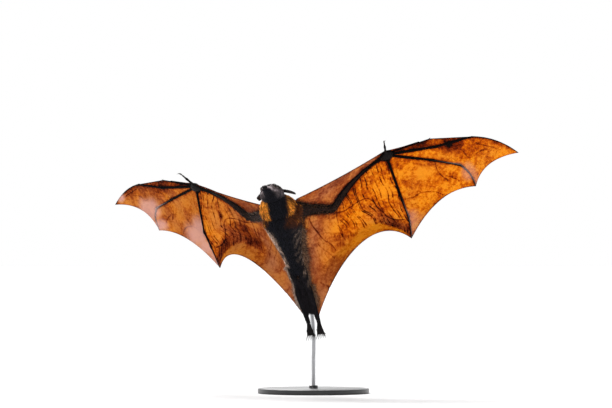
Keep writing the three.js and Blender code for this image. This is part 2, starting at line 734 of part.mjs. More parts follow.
const soleShape = (leg, grow = 0) => limb(
  new THREE.LineCurve3(step(leg.ankle, heading(leg.foot), 2), step(leg.ankle, heading(leg.foot), FOOT)),
  (s) => {
    const deep = lerp(3.4, 2.9, s) + grow;
    return { side: lerp(3.6, 7.4, s) + grow, over: deep, under: deep };
  },
  { sides: 6, stations: evenly(2), side: bodyLeft },
);

const toeShape = (leg, toe, grow = 0) => limb(
  toePath(leg, toe),
  (s) => round(lerp(1.9, 1.3, s) + grow),
  { sides: 5, stations: [0, 0.5, 1], side: bodyLeft, cap: 0.3 },
);

function footShape(leg) {
  const toes = Array.from({ length: TOES }, (_, toe) => toeShape(leg, toe));
  return join([soleShape(leg), ...toes]);
}

function toeClaw(leg, toe) {
  const path = toePath(leg, toe);
  const way = path.getTangent(1);
  const from = step(path.getPoint(1), way, 1 + GAP);
  return clawShape(from, way, bodyBack.clone().negate(), CLAW, CLAW_RADIUS.toe);
}

// The narrow furred web between the legs.
function uropatagiumShape(left, right) {
  const rows = 4;
  const columns = 2;
  return sheet(columns, rows, (i, j) => {
    const t = lerp(0.3, 1, j / rows);
    const sideOf = (leg) => (t < 0.5
      ? leg.hip.clone().lerp(leg.knee, t * 2)
      : leg.knee.clone().lerp(leg.ankle, (t - 0.5) * 1.64));
    const u = i / columns;
    const arch = 4 * u * (1 - u) * (j / rows) ** 2 * 7;
    return sideOf(right).lerp(sideOf(left), u).addScaledVector(heading(left.shank), -arch);
  }, TAIL_SKIN);
}

// ---------------------------------------------------------------- putting the bat together

const rodSpace = rodGeometry(ROD_RADIUS + GAP);
const wings = Object.fromEntries(Object.entries(WINGS).map(([name, pose]) => [name, wingFrame(pose)]));
const legs = Object.fromEntries(Object.entries(WINGS).map(([name, pose]) => [name, legFrame(pose.leg)]));

const body = groupOf('body');
place(body, 'trunk', carve(trunkShape(), [rodSpace, headShape(GAP)]), MATERIALS.blackFur(), HIP);
place(
  body,
  'neck',
  carve(neckShape(), [trunkShape(GAP), headShape(GAP)]),
  MATERIALS.brownFur(),
  shoulders,
);

const head = groupOf('head_parts');
const headTools = [eyeShape(1, GAP), eyeShape(-1, GAP), noseShape(GAP)];
place(head, 'head', carve(headShape(), headTools), MATERIALS.greyFur(), headCentre);
place(head, 'nose', noseShape(), MATERIALS.noseSkin(), inHead({ left: 0, up: 0, forward: MUZZLE }));
Object.entries(WINGS).forEach(([name, { side }]) => {
  place(head, `eye_${name}`, eyeShape(side), MATERIALS.eye(), inHead(EYE_PLACE, side));
  const ear = carve(earShape(side), [headShape(GAP), neckShape(GAP)]);
  place(head, `ear_${name}`, ear, MATERIALS.darkSkin(), inHead(EAR_ROOT, side));
});

Object.entries(legs).forEach(([name, leg]) => {
  const group = groupOf(`leg_${name}`);
  const other = legs[name === 'left' ? 'right' : 'left'];
  const thighTools = [trunkShape(GAP), rodSpace];
  if (name === 'right') thighTools.push(thighShape(other, GAP), shankShape(other, GAP));
  const shankTools = [trunkShape(GAP), thighShape(leg, GAP), rodSpace];
  if (name === 'right') shankTools.push(thighShape(other, GAP), shankShape(other, GAP));
  place(group, `thigh_${name}`, carve(thighShape(leg), thighTools), MATERIALS.blackFur(), leg.hip);
  place(group, `shank_${name}`, carve(shankShape(leg), shankTools), MATERIALS.blackFur(), leg.knee);
  const foot = carve(footShape(leg), [shankShape(leg, GAP)]);
  place(group, `foot_${name}`, foot, MATERIALS.darkSkin(), leg.ankle);
  for (let toe = 0; toe < TOES; toe += 1) {
    const toeEnd = toePath(leg, toe).getPoint(1);
    place(group, `claw_${name}_${toe + 1}`, toeClaw(leg, toe), MATERIALS.claw(), toeEnd);
  }
});

const legTools = Object.values(legs).flatMap((leg) => [thighShape(leg, GAP), shankShape(leg, GAP)]);
const bodyTools = [trunkShape(GAP), neckShape(GAP), ...legTools, rodSpace];
place(
  body,
  'uropatagium',
  carve(uropatagiumShape(legs.left, legs.right), bodyTools),
  MATERIALS.blackFur(),
  HIP,
);

Object.entries(wings).forEach(([name, wing]) => {
  const group = groupOf(`wing_${name}`);
  const wrist = wristShape(wing, GAP);
  const arm = [upperArmShape(wing, GAP), forearmShape(wing, GAP), wrist];
  const upperArm = carve(upperArmShape(wing), [trunkShape(GAP), neckShape(GAP)]);
  place(group, `upper_arm_${name}`, upperArm, MATERIALS.blackFur(), wing.shoulder);
  const forearm = carve(forearmShape(wing), [upperArmShape(wing, GAP), wrist]);
  place(group, `forearm_${name}`, forearm, MATERIALS.blackFur(), wing.elbow);
  place(group, `wrist_${name}`, wristShape(wing), MATERIALS.darkSkin(), wing.wrist);
  place(group, `thumb_${name}`, carve(thumbShape(wing), [wrist]), MATERIALS.darkSkin(), wing.wrist);
  const thumbWay = heading(wing.thumb);
  const thumbEnd = step(wing.wrist, thumbWay, THUMB + 1.7 + GAP);
  const clawHook = square(wing.lead.clone().negate().addScaledVector(wing.back, -0.4), thumbWay);
  const thumbClaw = clawShape(thumbEnd, thumbWay, clawHook, THUMB_CLAW, CLAW_RADIUS.thumb);
  place(group, `thumb_claw_${name}`, thumbClaw, MATERIALS.claw(), thumbEnd);

  const { digit3, digit4, digit5 } = wing.fingers;
  const { index } = wing;
  const indexShape = limb(
    index.path,
    (s) => round(lerp(INDEX_RADIUS.base, INDEX_RADIUS.tip, s)),
    { sides: 6, stations: INDEX_STATIONS, side: wing.back },
  );
  place(group, `index_${name}`, carve(indexShape, [wrist]), MATERIALS.darkSkin(), wing.wrist);
  const indexWay = heading(wing.indexHeading);
  const indexEnd = step(index.tip, indexWay, 1 + GAP);
  const indexClaw = clawShape(indexEnd, indexWay, wing.lead, INDEX_CLAW, CLAW_RADIUS.index);
  place(group, `index_claw_${name}`, indexClaw, MATERIALS.claw(), indexEnd);
  Object.entries(wing.fingers).forEach(([digit, finger]) => {
    const shape = carve(fingerShape(finger.path, finger.radius, wing.back), [wrist]);
    place(group, `${digit}_${name}`, shape, MATERIALS.darkSkin(), wing.wrist);
  });

  const webs = {
    web12: thumbWebShape(wing),
    web23: indexWebShape(index, digit3, heading(wing.digit3[0])),
    web34: webShape(digit3, digit4, wing.slack34, BILLOW.digit34, wing, 1),
    web45: webShape(digit4, digit5, wing.slack45, BILLOW.digit45, wing, 1),
    propatagium: propatagiumShape(wing),
    plagiopatagium: plagiopatagiumShape(wing, legs[name]),
  };
  Object.entries(webs).forEach(([web, shape]) => {
    const tools = [...arm, thumbShape(wing, GAP), ...bodyTools];
    place(group, `${web}_${name}`, carve(shape, tools), MATERIALS.membrane(), wing.wrist);
  });
});

export default model;
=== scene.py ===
import itertools
import math

import bpy
import numpy as np
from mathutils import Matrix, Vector


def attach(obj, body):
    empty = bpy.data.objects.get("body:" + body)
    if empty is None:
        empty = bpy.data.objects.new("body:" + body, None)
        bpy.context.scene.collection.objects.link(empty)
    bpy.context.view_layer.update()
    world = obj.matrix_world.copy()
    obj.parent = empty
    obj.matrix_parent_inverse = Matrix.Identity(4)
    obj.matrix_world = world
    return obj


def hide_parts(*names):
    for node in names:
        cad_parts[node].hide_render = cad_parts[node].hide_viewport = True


# A flying fox in flight on its display stand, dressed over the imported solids.
# Shapes are worked out in millimetres, +Z up, belly towards -Y, and written to the meshes in metres.
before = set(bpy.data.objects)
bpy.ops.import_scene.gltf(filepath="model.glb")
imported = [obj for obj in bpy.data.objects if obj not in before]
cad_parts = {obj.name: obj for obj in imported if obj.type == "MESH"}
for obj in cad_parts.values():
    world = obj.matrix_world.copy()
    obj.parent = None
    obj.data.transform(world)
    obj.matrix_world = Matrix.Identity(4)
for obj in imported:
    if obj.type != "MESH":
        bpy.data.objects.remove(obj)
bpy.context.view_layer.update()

# ---------------------------------------------------------------- driving dimensions

MM = 0.001
SEED = 11

# The bones, as the solids have them.
HIP = np.array([-38.0, -30.0, 256.0])
SPINE = 118
SPINE_HEADING = (104.4, -24)
BODY_POSE = {"turn": -18.4, "pitch": 26.4, "roll": -7.9}
SHOULDER_SPREAD = 25
SHOULDER_BACK = 8
HEAD_FROM_SHOULDERS = np.array([-20.0, -25.0, 41.0])
HEAD_POSE = {"turn": -20, "lift": 17.5, "roll": 4}
MUZZLE = 38
OCCIPUT = 26
HUMERUS = 98
FOREARM = 151
FOREARM_BOW = 11
THUMB = 38
INDEX = 97
INDEX_LEAD = 3.6
FINGERS = {"digit3": (103, 77.5, 105), "digit4": (97, 59, 55), "digit5": (98, 37.5, 48)}
FINGER_CURL = 0.55
FEMUR = 50
TIBIA = 72
FOOT = 19
TOE = 13
CLAW = 10.4
TOES = 5

# How each wing is held: headings are (degrees up from +X, degrees away from the front).
WINGS = {
    "left": {
        "side": 1,
        "humerus": (3.1, 36.6),
        "forearm": (45.3, -3.8),
        "thumb": (100, -50),
        "index": (18.6, 12.9),
        "digit3": ((9.3, 11.6), (15.8, 9.2), (-18.6, 17.9)),
        "digit4": ((-6.3, 15.9), (-9.6, 13.4), (-53, 13.4)),
        "digit5": ((-70.1, 13.4), (-69, 16.8), (-82, -23.6)),
        "neck_edge": {"up": 24, "out": 12},
        "slack34": (0.33, 0.17),
        "slack45": (0.58, 0.43),
        "thigh": (-70.5, 14),
        "shank": (-72.5, -6),
        "foot": (-82, -28),
    },
    "right": {
        "side": -1,
        "humerus": (191.7, 63.9),
        "forearm": (150.4, 32.7),
        "thumb": (140, -14),
        "index": (171, 43.7),
        "digit3": ((181.4, 46.3), (172, 48.3), (220.1, 52.1)),
        "digit4": ((206.6, 53.3), (208.8, 52.2), (276.6, 33.1)),
        "digit5": ((280, 17.4), (293.8, 28.8), (293.6, -12.6)),
        "neck_edge": {"up": 17, "out": 5},
        "slack34": (0.36, 0.22),
        "slack45": (0.41, 0.17),
        "thigh": (-72, 14),
        "shank": (-71.5, -6),
        "foot": (-81.5, -28),
    },
}
EDGE_PULL = {"tip_elbow": 0.39, "tip_wrist": 0.165, "ankle_elbow": 0.22, "ankle_wrist": 0.25}
ELBOW_PLACE = 0.4
BILLOW = {"web34": 5, "web45": 9, "plagio": 20, "pro": 3}

# Half thicknesses along a piece, as (place along it from 0 to 1, half thickness).
TRUNK_WIDTH = ((0, 13), (0.12, 22), (0.3, 25.5), (0.55, 34.5), (0.72, 41), (0.86, 43), (1, 27))
TRUNK_BACK = ((0, 9), (0.12, 16), (0.35, 21), (0.65, 25), (0.86, 25), (1, 15))
TRUNK_BELLY = ((0, 9), (0.12, 15), (0.35, 22), (0.7, 31), (0.86, 31), (1, 18))
NECK_WIDTH = ((0, 23), (0.45, 36.5), (1, 34))
NECK_DEPTH = ((0, 17), (0.45, 25), (1, 20))
HEAD_WIDTH = ((0, 12), (0.12, 20), (0.28, 24), (0.45, 23), (0.58, 18.5), (0.72, 12.5), (1, 8.2))
HEAD_CROWN = ((0, 9), (0.14, 16.5), (0.34, 20), (0.5, 18.5), (0.62, 13.4), (0.76, 9.2), (1, 6.2))
HEAD_JAW = ((0, 10), (0.14, 16), (0.35, 19), (0.55, 17), (0.7, 13), (0.88, 10), (1, 6))
UPPER_ARM_GIRTH = ((0, 20), (0.25, 13), (0.6, 8.6), (1, 7.6))
FOREARM_GIRTH = ((0, 7.6), (0.12, 8.4), (0.35, 6.4), (0.6, 4.2), (0.85, 3), (1, 3.6))
WRIST_GIRTH = ((0, 0.42), (0.3, 0.85), (0.55, 1), (0.8, 0.9), (1, 0.55))
WRIST = {"across": 9.5, "deep": 6.5, "back": 13, "reach": 13}
THUMB_GIRTH = ((0, 3.4), (0.5, 2.5), (0.6, 2.9), (0.7, 2.2), (1, 1.7))
THIGH_GIRTH = ((0, 12), (0.4, 11.5), (1, 7.5))
SHANK_GIRTH = ((0, 7.2), (0.3, 7), (0.7, 5.6), (1, 4.8))
ARM_FLAT = 0.85
BONE_BASE, BONE_TIP, KNUCKLE = 2.1, 0.7, 0.7
RUMP = 16
NAPE = 12

# Eyes, ears and nose, placed in the head's own frame as (left, up, forward).
EYE_RADIUS = 5.6
EYE_PLACE = (12.6, 7.6, 10.5)
GAZE = (0.62, 0.05, 0.78)
LID_OPENING = (0.74, 0.56)
LID = 0.9
EAR_LENGTH = 33
EAR_WIDTH = 16
EAR_ROOT = (22, 3.5, -12)
EAR_SWEEP = (0.5, 0.1, -0.86)
EAR_OPENING = (0, -1, -0.34)

# Fineness of the meshes.
SKIN_VOXEL = 1.15
MEMBRANE = 0.42                       # half a membrane's thickness
BONE_ROWS = (46, 36, 44)              # rows of a membrane along each bone of a finger
FINE_STEPS = (0.45, 0.5, 0.6, 0.8, 1.1, 1.5)   # a membrane's first steps away from a bone

# The camera stands ten metres off and looks straight along +Y; the picture is 612 pixels wide.
CAMERA = {"x": -15, "y": -10038, "z": 380}
IMAGE = (612, 408)
PIXEL = 2.0                           # millimetres of the bat's plane that a pixel covers
SENSOR = 36

# ---------------------------------------------------------------- vectors and profiles


def unit(vectors):
    return vectors / np.maximum(np.linalg.norm(vectors, axis=-1, keepdims=True), 1e-9)


def square(direction, axis):
    """The part of a direction that is square to an axis, as unit vectors."""
    axis = np.asarray(axis, float)
    dot = np.sum(direction * axis, axis=-1, keepdims=True)
    return unit(direction - dot * axis)


def heading(up, away):
    up, away = math.radians(up), math.radians(away)
    return np.array([math.cos(away) * math.cos(up), math.sin(away), math.cos(away) * math.sin(up)])


def lerp(a, b, t):
    return a + (b - a) * t


def ease(low, high, x):
    t = np.clip((x - low) / (high - low), 0, 1)
    return t * t * (3 - 2 * t)


def along(stops, s):
    """A smooth value along (place, value) stops, with no step in its slope."""
    x, y = (np.array(column, float) for column in zip(*stops))
    slope = np.gradient(y, x)
    s = np.clip(np.asarray(s, float), x[0], x[-1])
    k = np.clip(np.searchsorted(x, s, side="right") - 1, 0, len(x) - 2)
    width = x[k + 1] - x[k]
    t = (s - x[k]) / width
    start = (2 * t**3 - 3 * t**2 + 1) * y[k] + (t**3 - 2 * t**2 + t) * width * slope[k]
    end = (3 * t**2 - 2 * t**3) * y[k + 1] + (t**3 - t**2) * width * slope[k + 1]
    return start + end


def turned(axis, degrees, vector):
    """A vector turned about X, Y or Z."""
    c, s = math.cos(math.radians(degrees)), math.sin(math.radians(degrees))
    a, b = [(1, 2), (2, 0), (0, 1)]["xyz".index(axis)]
    out = np.array(vector, float)
    out[a], out[b] = c * vector[a] - s * vector[b], s * vector[a] + c * vector[b]
    return out


def noise(points, size, seed=0):
    """Smooth noise from -1 to 1, with features of about that size."""
    cell = points / size
    base = np.floor(cell)
    part = cell - base
    part = part * part * (3 - 2 * part)
    total = np.zeros(len(points))
    for corner in itertools.product((0, 1), repeat=3):
        key = (base + corner) @ (12.9898, 78.233, 37.719) + seed * 3.17
        value = np.modf(np.sin(key) * 43758.5453)[0]
        total += value * np.prod(np.where(corner, part, 1 - part), axis=1)
    return total


def bezier(handles, t):
    """Points of a quadratic or cubic Bezier curve."""
    t = np.asarray(t, float)[..., None]
    points = [np.asarray(h, float) for h in handles]
    while len(points) > 1:
        points = [a * (1 - t) + b * t for a, b in zip(points, points[1:])]
    return points[0]


def through(points, count=12):
    """A centripetal Catmull-Rom line through the points."""
    points = [np.asarray(p, float) for p in points]
    points = [2 * points[0] - points[1], *points, 2 * points[-1] - points[-2]]
    line = []
    for p0, p1, p2, p3 in zip(points, points[1:], points[2:], points[3:]):
        d0, d1, d2 = (math.sqrt(np.linalg.norm(b - a)) for a, b in ((p0, p1), (p1, p2), (p2, p3)))
        m1 = ((p1 - p0) / d0 - (p2 - p0) / (d0 + d1) + (p2 - p1) / d1) * d1
        m2 = ((p2 - p1) / d1 - (p3 - p1) / (d1 + d2) + (p3 - p2) / d2) * d1
        t = np.linspace(0, 1, count, endpoint=False)[:, None]
        line.append((2 * t**3 - 3 * t**2 + 1) * p1 + (t**3 - 2 * t**2 + t) * m1
                    + (3 * t**2 - 2 * t**3) * p2 + (t**3 - t**2) * m2)
    return np.vstack([*line, points[-2][None]])


class Path:
    """A line of points, read by the share of its length."""

    def __init__(self, points):
        self.points = np.array(points, float)
        steps = np.linalg.norm(np.diff(self.points, axis=0), axis=1)
        self.length = steps.sum()
        self.run = np.concatenate([[0], np.cumsum(steps)]) / self.length

    def at(self, s):
        return np.stack([np.interp(s, self.run, self.points[:, k]) for k in range(3)], axis=-1)

    def way(self, s):
        s = np.asarray(s, float)
        return unit(self.at(np.minimum(s + 0.01, 1)) - self.at(np.maximum(s - 0.01, 0)))


def curve(*handles):
    return Path(bezier(handles, np.linspace(0, 1, 25)))


def distance_to(points, line):
    """How far each point is from a line of points."""
    best = np.full(len(points), 1e9)
    for a, b in zip(line[:-1], line[1:]):
        step = b - a
        t = np.clip((points - a) @ step / max(step @ step, 1e-9), 0, 1)
        gap = points - a - t[:, None] * step
        best = np.minimum(best, np.einsum("ij,ij->i", gap, gap))
    return np.sqrt(best)


# ---------------------------------------------------------------- the bat's frames


def body_axis(vector):
    vector = turned("y", BODY_POSE["roll"], vector)
    return turned("z", BODY_POSE["turn"], turned("x", BODY_POSE["pitch"], vector))


LEFT = body_axis((1, 0, 0))
BACK = body_axis((0, 1, 0))
SPINE_WAY = heading(*SPINE_HEADING)
SHOULDERS = HIP + SPINE_WAY * SPINE
HEAD_FORWARD = turned("z", HEAD_POSE["turn"], turned("x", -HEAD_POSE["lift"], (0, -1, 0)))
HEAD_ROLL = math.radians(HEAD_POSE["roll"])
HEAD_LEFT = square(np.array([math.cos(HEAD_ROLL), 0, math.sin(HEAD_ROLL)]), HEAD_FORWARD)
HEAD_UP = np.cross(HEAD_FORWARD, HEAD_LEFT)
HEAD_CENTRE = SHOULDERS + HEAD_FROM_SHOULDERS
HEAD_AXES = np.array([HEAD_LEFT, HEAD_UP, HEAD_FORWARD])


def head_way(place, side=1):
    return unit(np.array([place[0] * side, place[1], place[2]], float) @ HEAD_AXES)


def in_head(place, side=1):
    return HEAD_CENTRE + np.array([place[0] * side, place[1], place[2]], float) @ HEAD_AXES


def head_places(points):
    """Points as (left, up, forward) in the head's own frame."""
    return (points - HEAD_CENTRE) @ HEAD_AXES.T


class Finger:
    """A finger of straight bones, the last of them curved on from the one before."""

    def __init__(self, start, lengths, headings):
        self.bones = []
        way = None
        for k, (length, (up, away)) in enumerate(zip(lengths, headings)):
            following = heading(up, away)
            end = start + following * length
            middle = start + following * length * 0.5
            if way is not None and k == len(lengths) - 1:
                middle = start + unit(lerp(following, way, FINGER_CURL)) * length * 0.5
            self.bones.append(curve(start, middle, end))
            start, way = end, following
        self.lengths = np.array([bone.length for bone in self.bones])
        self.joints = np.array([bone.points[0] for bone in self.bones] + [start])
        self.tip = start

    def at(self, progress):
        """Points at a progress that goes up by 1 for each bone."""
        k = np.clip(np.floor(progress).astype(int), 0, len(self.bones) - 1)
        points = np.empty((len(progress), 3))
        for i, bone in enumerate(self.bones):
            points[k == i] = bone.at(progress[k == i] - i)
        return points

    def radius(self, points):
        """The bone's radius at points on it: tapered, and thicker at each joint."""
        line = np.vstack([bone.points for bone in self.bones])
        nearest = np.argmin(np.linalg.norm(points[:, None] - line[None], axis=2), axis=1)
        taper = lerp(BONE_BASE, BONE_TIP, nearest / (len(line) - 1))
        to_joint = np.min(np.linalg.norm(points[:, None] - self.joints[None, :-1], axis=2), axis=1)
        return taper + KNUCKLE * np.exp(-((to_joint / 5) ** 2))


class Wing:
    """The joints and paths of one wing and its leg."""

    def __init__(self, name, pose):
        self.name, self.pose, self.side = name, pose, pose["side"]
        self.shoulder = SHOULDERS + LEFT * SHOULDER_SPREAD * self.side + BACK * SHOULDER_BACK
        self.elbow = self.shoulder + heading(*pose["humerus"]) * HUMERUS
        forearm_way = heading(*pose["forearm"])
        self.wrist = self.elbow + forearm_way * FOREARM
        self.fingers = {d: Finger(self.wrist, lengths, pose[d]) for d, lengths in FINGERS.items()}
        tip3, tip5 = self.fingers["digit3"].tip, self.fingers["digit5"].tip
        self.back = unit(np.cross(tip3 - self.elbow, tip5 - self.elbow) * self.side)
        self.lead = square(self.wrist - tip5, forearm_way)
        index_root = self.wrist + self.lead * INDEX_LEAD
        self.fingers["index"] = Finger(index_root, (INDEX,), (pose["index"],))
        bow = lerp(self.elbow, self.wrist, 0.5) + self.lead * 2 * FOREARM_BOW
        self.upper_arm = curve(self.shoulder, lerp(self.shoulder, self.elbow, 0.5), self.elbow)
        self.forearm = curve(self.elbow, bow, self.wrist)
        self.thumb_way = heading(*pose["thumb"])
        self.thumb = Path([self.wrist + self.thumb_way * 4, self.wrist + self.thumb_way * THUMB])
        self.hip = HIP + LEFT * 11 * self.side + BACK * 2
        self.knee = self.hip + heading(*pose["thigh"]) * FEMUR
        self.ankle = self.knee + heading(*pose["shank"]) * TIBIA
        self.shank_end = self.knee + heading(*pose["shank"]) * (TIBIA - 6)
        self.foot_way = heading(*pose["foot"])

    def on_arm(self, places):
        """Points on the arm's axis, from the shoulder at 0 past the elbow to the wrist at 1."""
        upper = self.upper_arm.at(places / ELBOW_PLACE)
        lower = self.forearm.at((places - ELBOW_PLACE) / (1 - ELBOW_PLACE))
        return np.where((places < ELBOW_PLACE)[:, None], upper, lower)

    def toe(self, toe):
        spread = toe / (TOES - 1) - 0.5
        root = self.ankle + self.foot_way * (FOOT - 3) + LEFT * spread * 11
        bow = root + self.foot_way * TOE * 0.55 + BACK * 2.5
        return curve(root, bow, bow + self.foot_way * TOE * 0.5 + LEFT * spread * 4)


WING = {name: Wing(name, pose) for name, pose in WINGS.items()}

TRUNK_PATH = curve(
    HIP + heading(-64, 10) * RUMP,
    HIP + SPINE_WAY * SPINE * 0.45 - LEFT * 2,
    SHOULDERS + SPINE_WAY * NAPE,
)
NECK_PATH = curve(in_head((0, -3, -8)), in_head((0, -12, -26)), SHOULDERS - SPINE_WAY * 8)
HEAD_PATH = Path([in_head((0, 0, -OCCIPUT)), in_head((0, 0, MUZZLE - 3))])

# ---------------------------------------------------------------- meshes


def mesh_object(name, points, *faces):
    """A smooth mesh object from points in millimetres and arrays of faces."""
    corners = np.concatenate([f.ravel() for f in faces]).astype(np.int32)
    counts = np.concatenate([np.full(len(f), f.shape[1]) for f in faces])
    mesh = bpy.data.meshes.new(name)
    mesh.vertices.add(len(points))
    mesh.loops.add(len(corners))
    mesh.polygons.add(len(counts))
    mesh.vertices.foreach_set("co", (points * MM).astype(np.float32).ravel())
    mesh.loops.foreach_set("vertex_index", corners)
    starts = np.concatenate([[0], np.cumsum(counts)[:-1]])
    mesh.polygons.foreach_set("loop_start", starts.astype(np.int32))
    mesh.update(calc_edges=True)
    mesh.shade_smooth()
    obj = bpy.data.objects.new(name, mesh)
    bpy.context.scene.collection.objects.link(obj)
    return obj


def mark(obj, name, values):
    """Gives each vertex a number or a vector that the materials read."""
    kind = "FLOAT" if values.ndim == 1 else "FLOAT_VECTOR"
    attribute = obj.data.attributes.new(name, kind, "POINT")
    key = "value" if values.ndim == 1 else "vector"
    attribute.data.foreach_set(key, values.astype(np.float32).ravel())


def grid_faces(rows, columns, loop=False):
    """Quads of a grid of points, row by row; a loop joins the last column to the first."""
    i, j = np.meshgrid(np.arange(rows - 1), np.arange(columns if loop else columns - 1), indexing="ij")
    right = (j + 1) % columns
    quads = [i * columns + j, i * columns + right, (i + 1) * columns + right, (i + 1) * columns + j]
    return np.stack(quads, axis=-1).reshape(-1, 4)


def tube(path, sizes, side, rings=24, sides=20, cap=0.5):
    """A closed body along a path: points, quads and triangles. Sizes are to the side, over, under."""
    s = np.linspace(0, 1, rings)
    centre, axis = path.at(s), path.way(s)
    across = square(np.broadcast_to(side, axis.shape), axis)
    over = np.cross(axis, across)
    size = np.broadcast_to(sizes(s), (rings, 3))
    angle = np.arange(sides) * 2 * math.pi / sides
    height = np.where(np.sin(angle) > 0, size[:, 1:2], size[:, 2:3]) * np.sin(angle)
    ring = centre[:, None] + across[:, None] * (size[:, :1] * np.cos(angle))[..., None]
    ring = ring + over[:, None] * height[..., None]
    reach = cap * size[[0, -1], :2].min(axis=1) * (-1, 1)
    ends = centre[[0, -1]] + axis[[0, -1]] * reach[:, None]
    points = np.vstack([ring.reshape(-1, 3), ends])
    j = np.arange(sides)
    following = (j + 1) % sides
    last = (rings - 1) * sides
    first_cap = np.stack([j, np.full(sides, len(points) - 2), following], axis=1)
    last_cap = np.stack([last + following, np.full(sides, len(points) - 1), last + j], axis=1)
    return points, grid_faces(rings, sides, loop=True)[:, ::-1], np.vstack([first_cap, last_cap])


def tube_grain(rings, sides, radius, length):
    """Each point's place along such a tube, and its place on the tube's surface in metres."""
    place = np.concatenate([np.repeat(np.linspace(0, 1, rings), sides), [0, 1]])
    turn = np.concatenate([np.tile(np.arange(sides) / sides * 2 * math.pi, rings), [0, 0]])
    return place, np.stack([np.cos(turn) * radius, place * length, np.sin(turn) * radius], axis=1) * MM


def even(radius, flat=1.0):
    """Sizes for a tube from one half thickness, or from stops of it."""
    def sizes(s):
        r = along(radius, s) if isinstance(radius, tuple) else np.full(len(s), float(radius))
        return np.stack([r, r * flat, r * flat], axis=1)
    return sizes


def lump(centre, axis, side, long, wide, deep):
    """An ellipsoid, as a tube whose rings swell and shrink."""
    swell = lambda s: np.sqrt(np.maximum(1 - (2 * s - 1) ** 2, 0.02))[:, None] * (wide, deep, deep)
    return tube(Path([centre - axis * long, centre + axis * long]), swell, side, rings=13, sides=16, cap=0)


def joined(parts):
    """Parts of points, quads and triangles as one."""
    offsets = np.cumsum([0] + [len(p) for p, _, _ in parts])
    points = np.vstack([p for p, _, _ in parts])
    quads = np.vstack([q + o for (_, q, _), o in zip(parts, offsets)])
    triangles = np.vstack([t + o for (_, _, t), o in zip(parts, offsets)])
    return points, quads, triangles


def fused(name, parts, voxel):
    """Overlapping bodies melted into one skin. Returns its points and quads."""
    obj = mesh_object(name, *joined(parts))
    remesh = obj.modifiers.new("fuse", "REMESH")
    remesh.mode = "VOXEL"
    remesh.voxel_size = voxel * MM
    bpy.context.view_layer.update()
    evaluated = obj.evaluated_get(bpy.context.evaluated_depsgraph_get())
    mesh = evaluated.to_mesh()
    points = np.empty(len(mesh.vertices) * 3, np.float32)
    mesh.vertices.foreach_get("co", points)
    quads = np.empty(len(mesh.polygons) * 4, np.int32)
    mesh.loops.foreach_get("vertex_index", quads)
    evaluated.to_mesh_clear()
    bpy.data.objects.remove(obj)
    return points.reshape(-1, 3).astype(float) / MM, quads.reshape(-1, 4)


def edges_of(faces):
    pairs = np.vstack([np.stack([f, np.roll(f, -1, axis=1)], axis=-1).reshape(-1, 2) for f in faces])
    return np.unique(np.sort(pairs, axis=1), axis=0)


def relaxed(points, edges, share, rounds):
    """Points drawn towards the middle of their neighbours, by a share of the way each round."""
    a, b = edges.T
    count = np.maximum(np.bincount(a, minlength=len(points)) + np.bincount(b, minlength=len(points)), 1)
    for _ in range(rounds):
        total = np.empty_like(points)
        for k in range(3):
            total[:, k] = np.bincount(a, points[b, k], len(points))
            total[:, k] += np.bincount(b, points[a, k], len(points))
        points = points + (total / count[:, None] - points) * share
    return points


def normals_of(points, *faces):
    """Smooth normals from the faces round each point."""
    total = np.zeros_like(points)
    for f in faces:
        across = points[f[:, 2]] - points[f[:, 0]]
        down = points[f[:, 3 % f.shape[1]]] - points[f[:, 1]]
        normal = np.cross(across, down)
        for k in range(f.shape[1]):
            np.add.at(total, f[:, k], normal)
    return unit(total)


# ---------------------------------------------------------------- materials


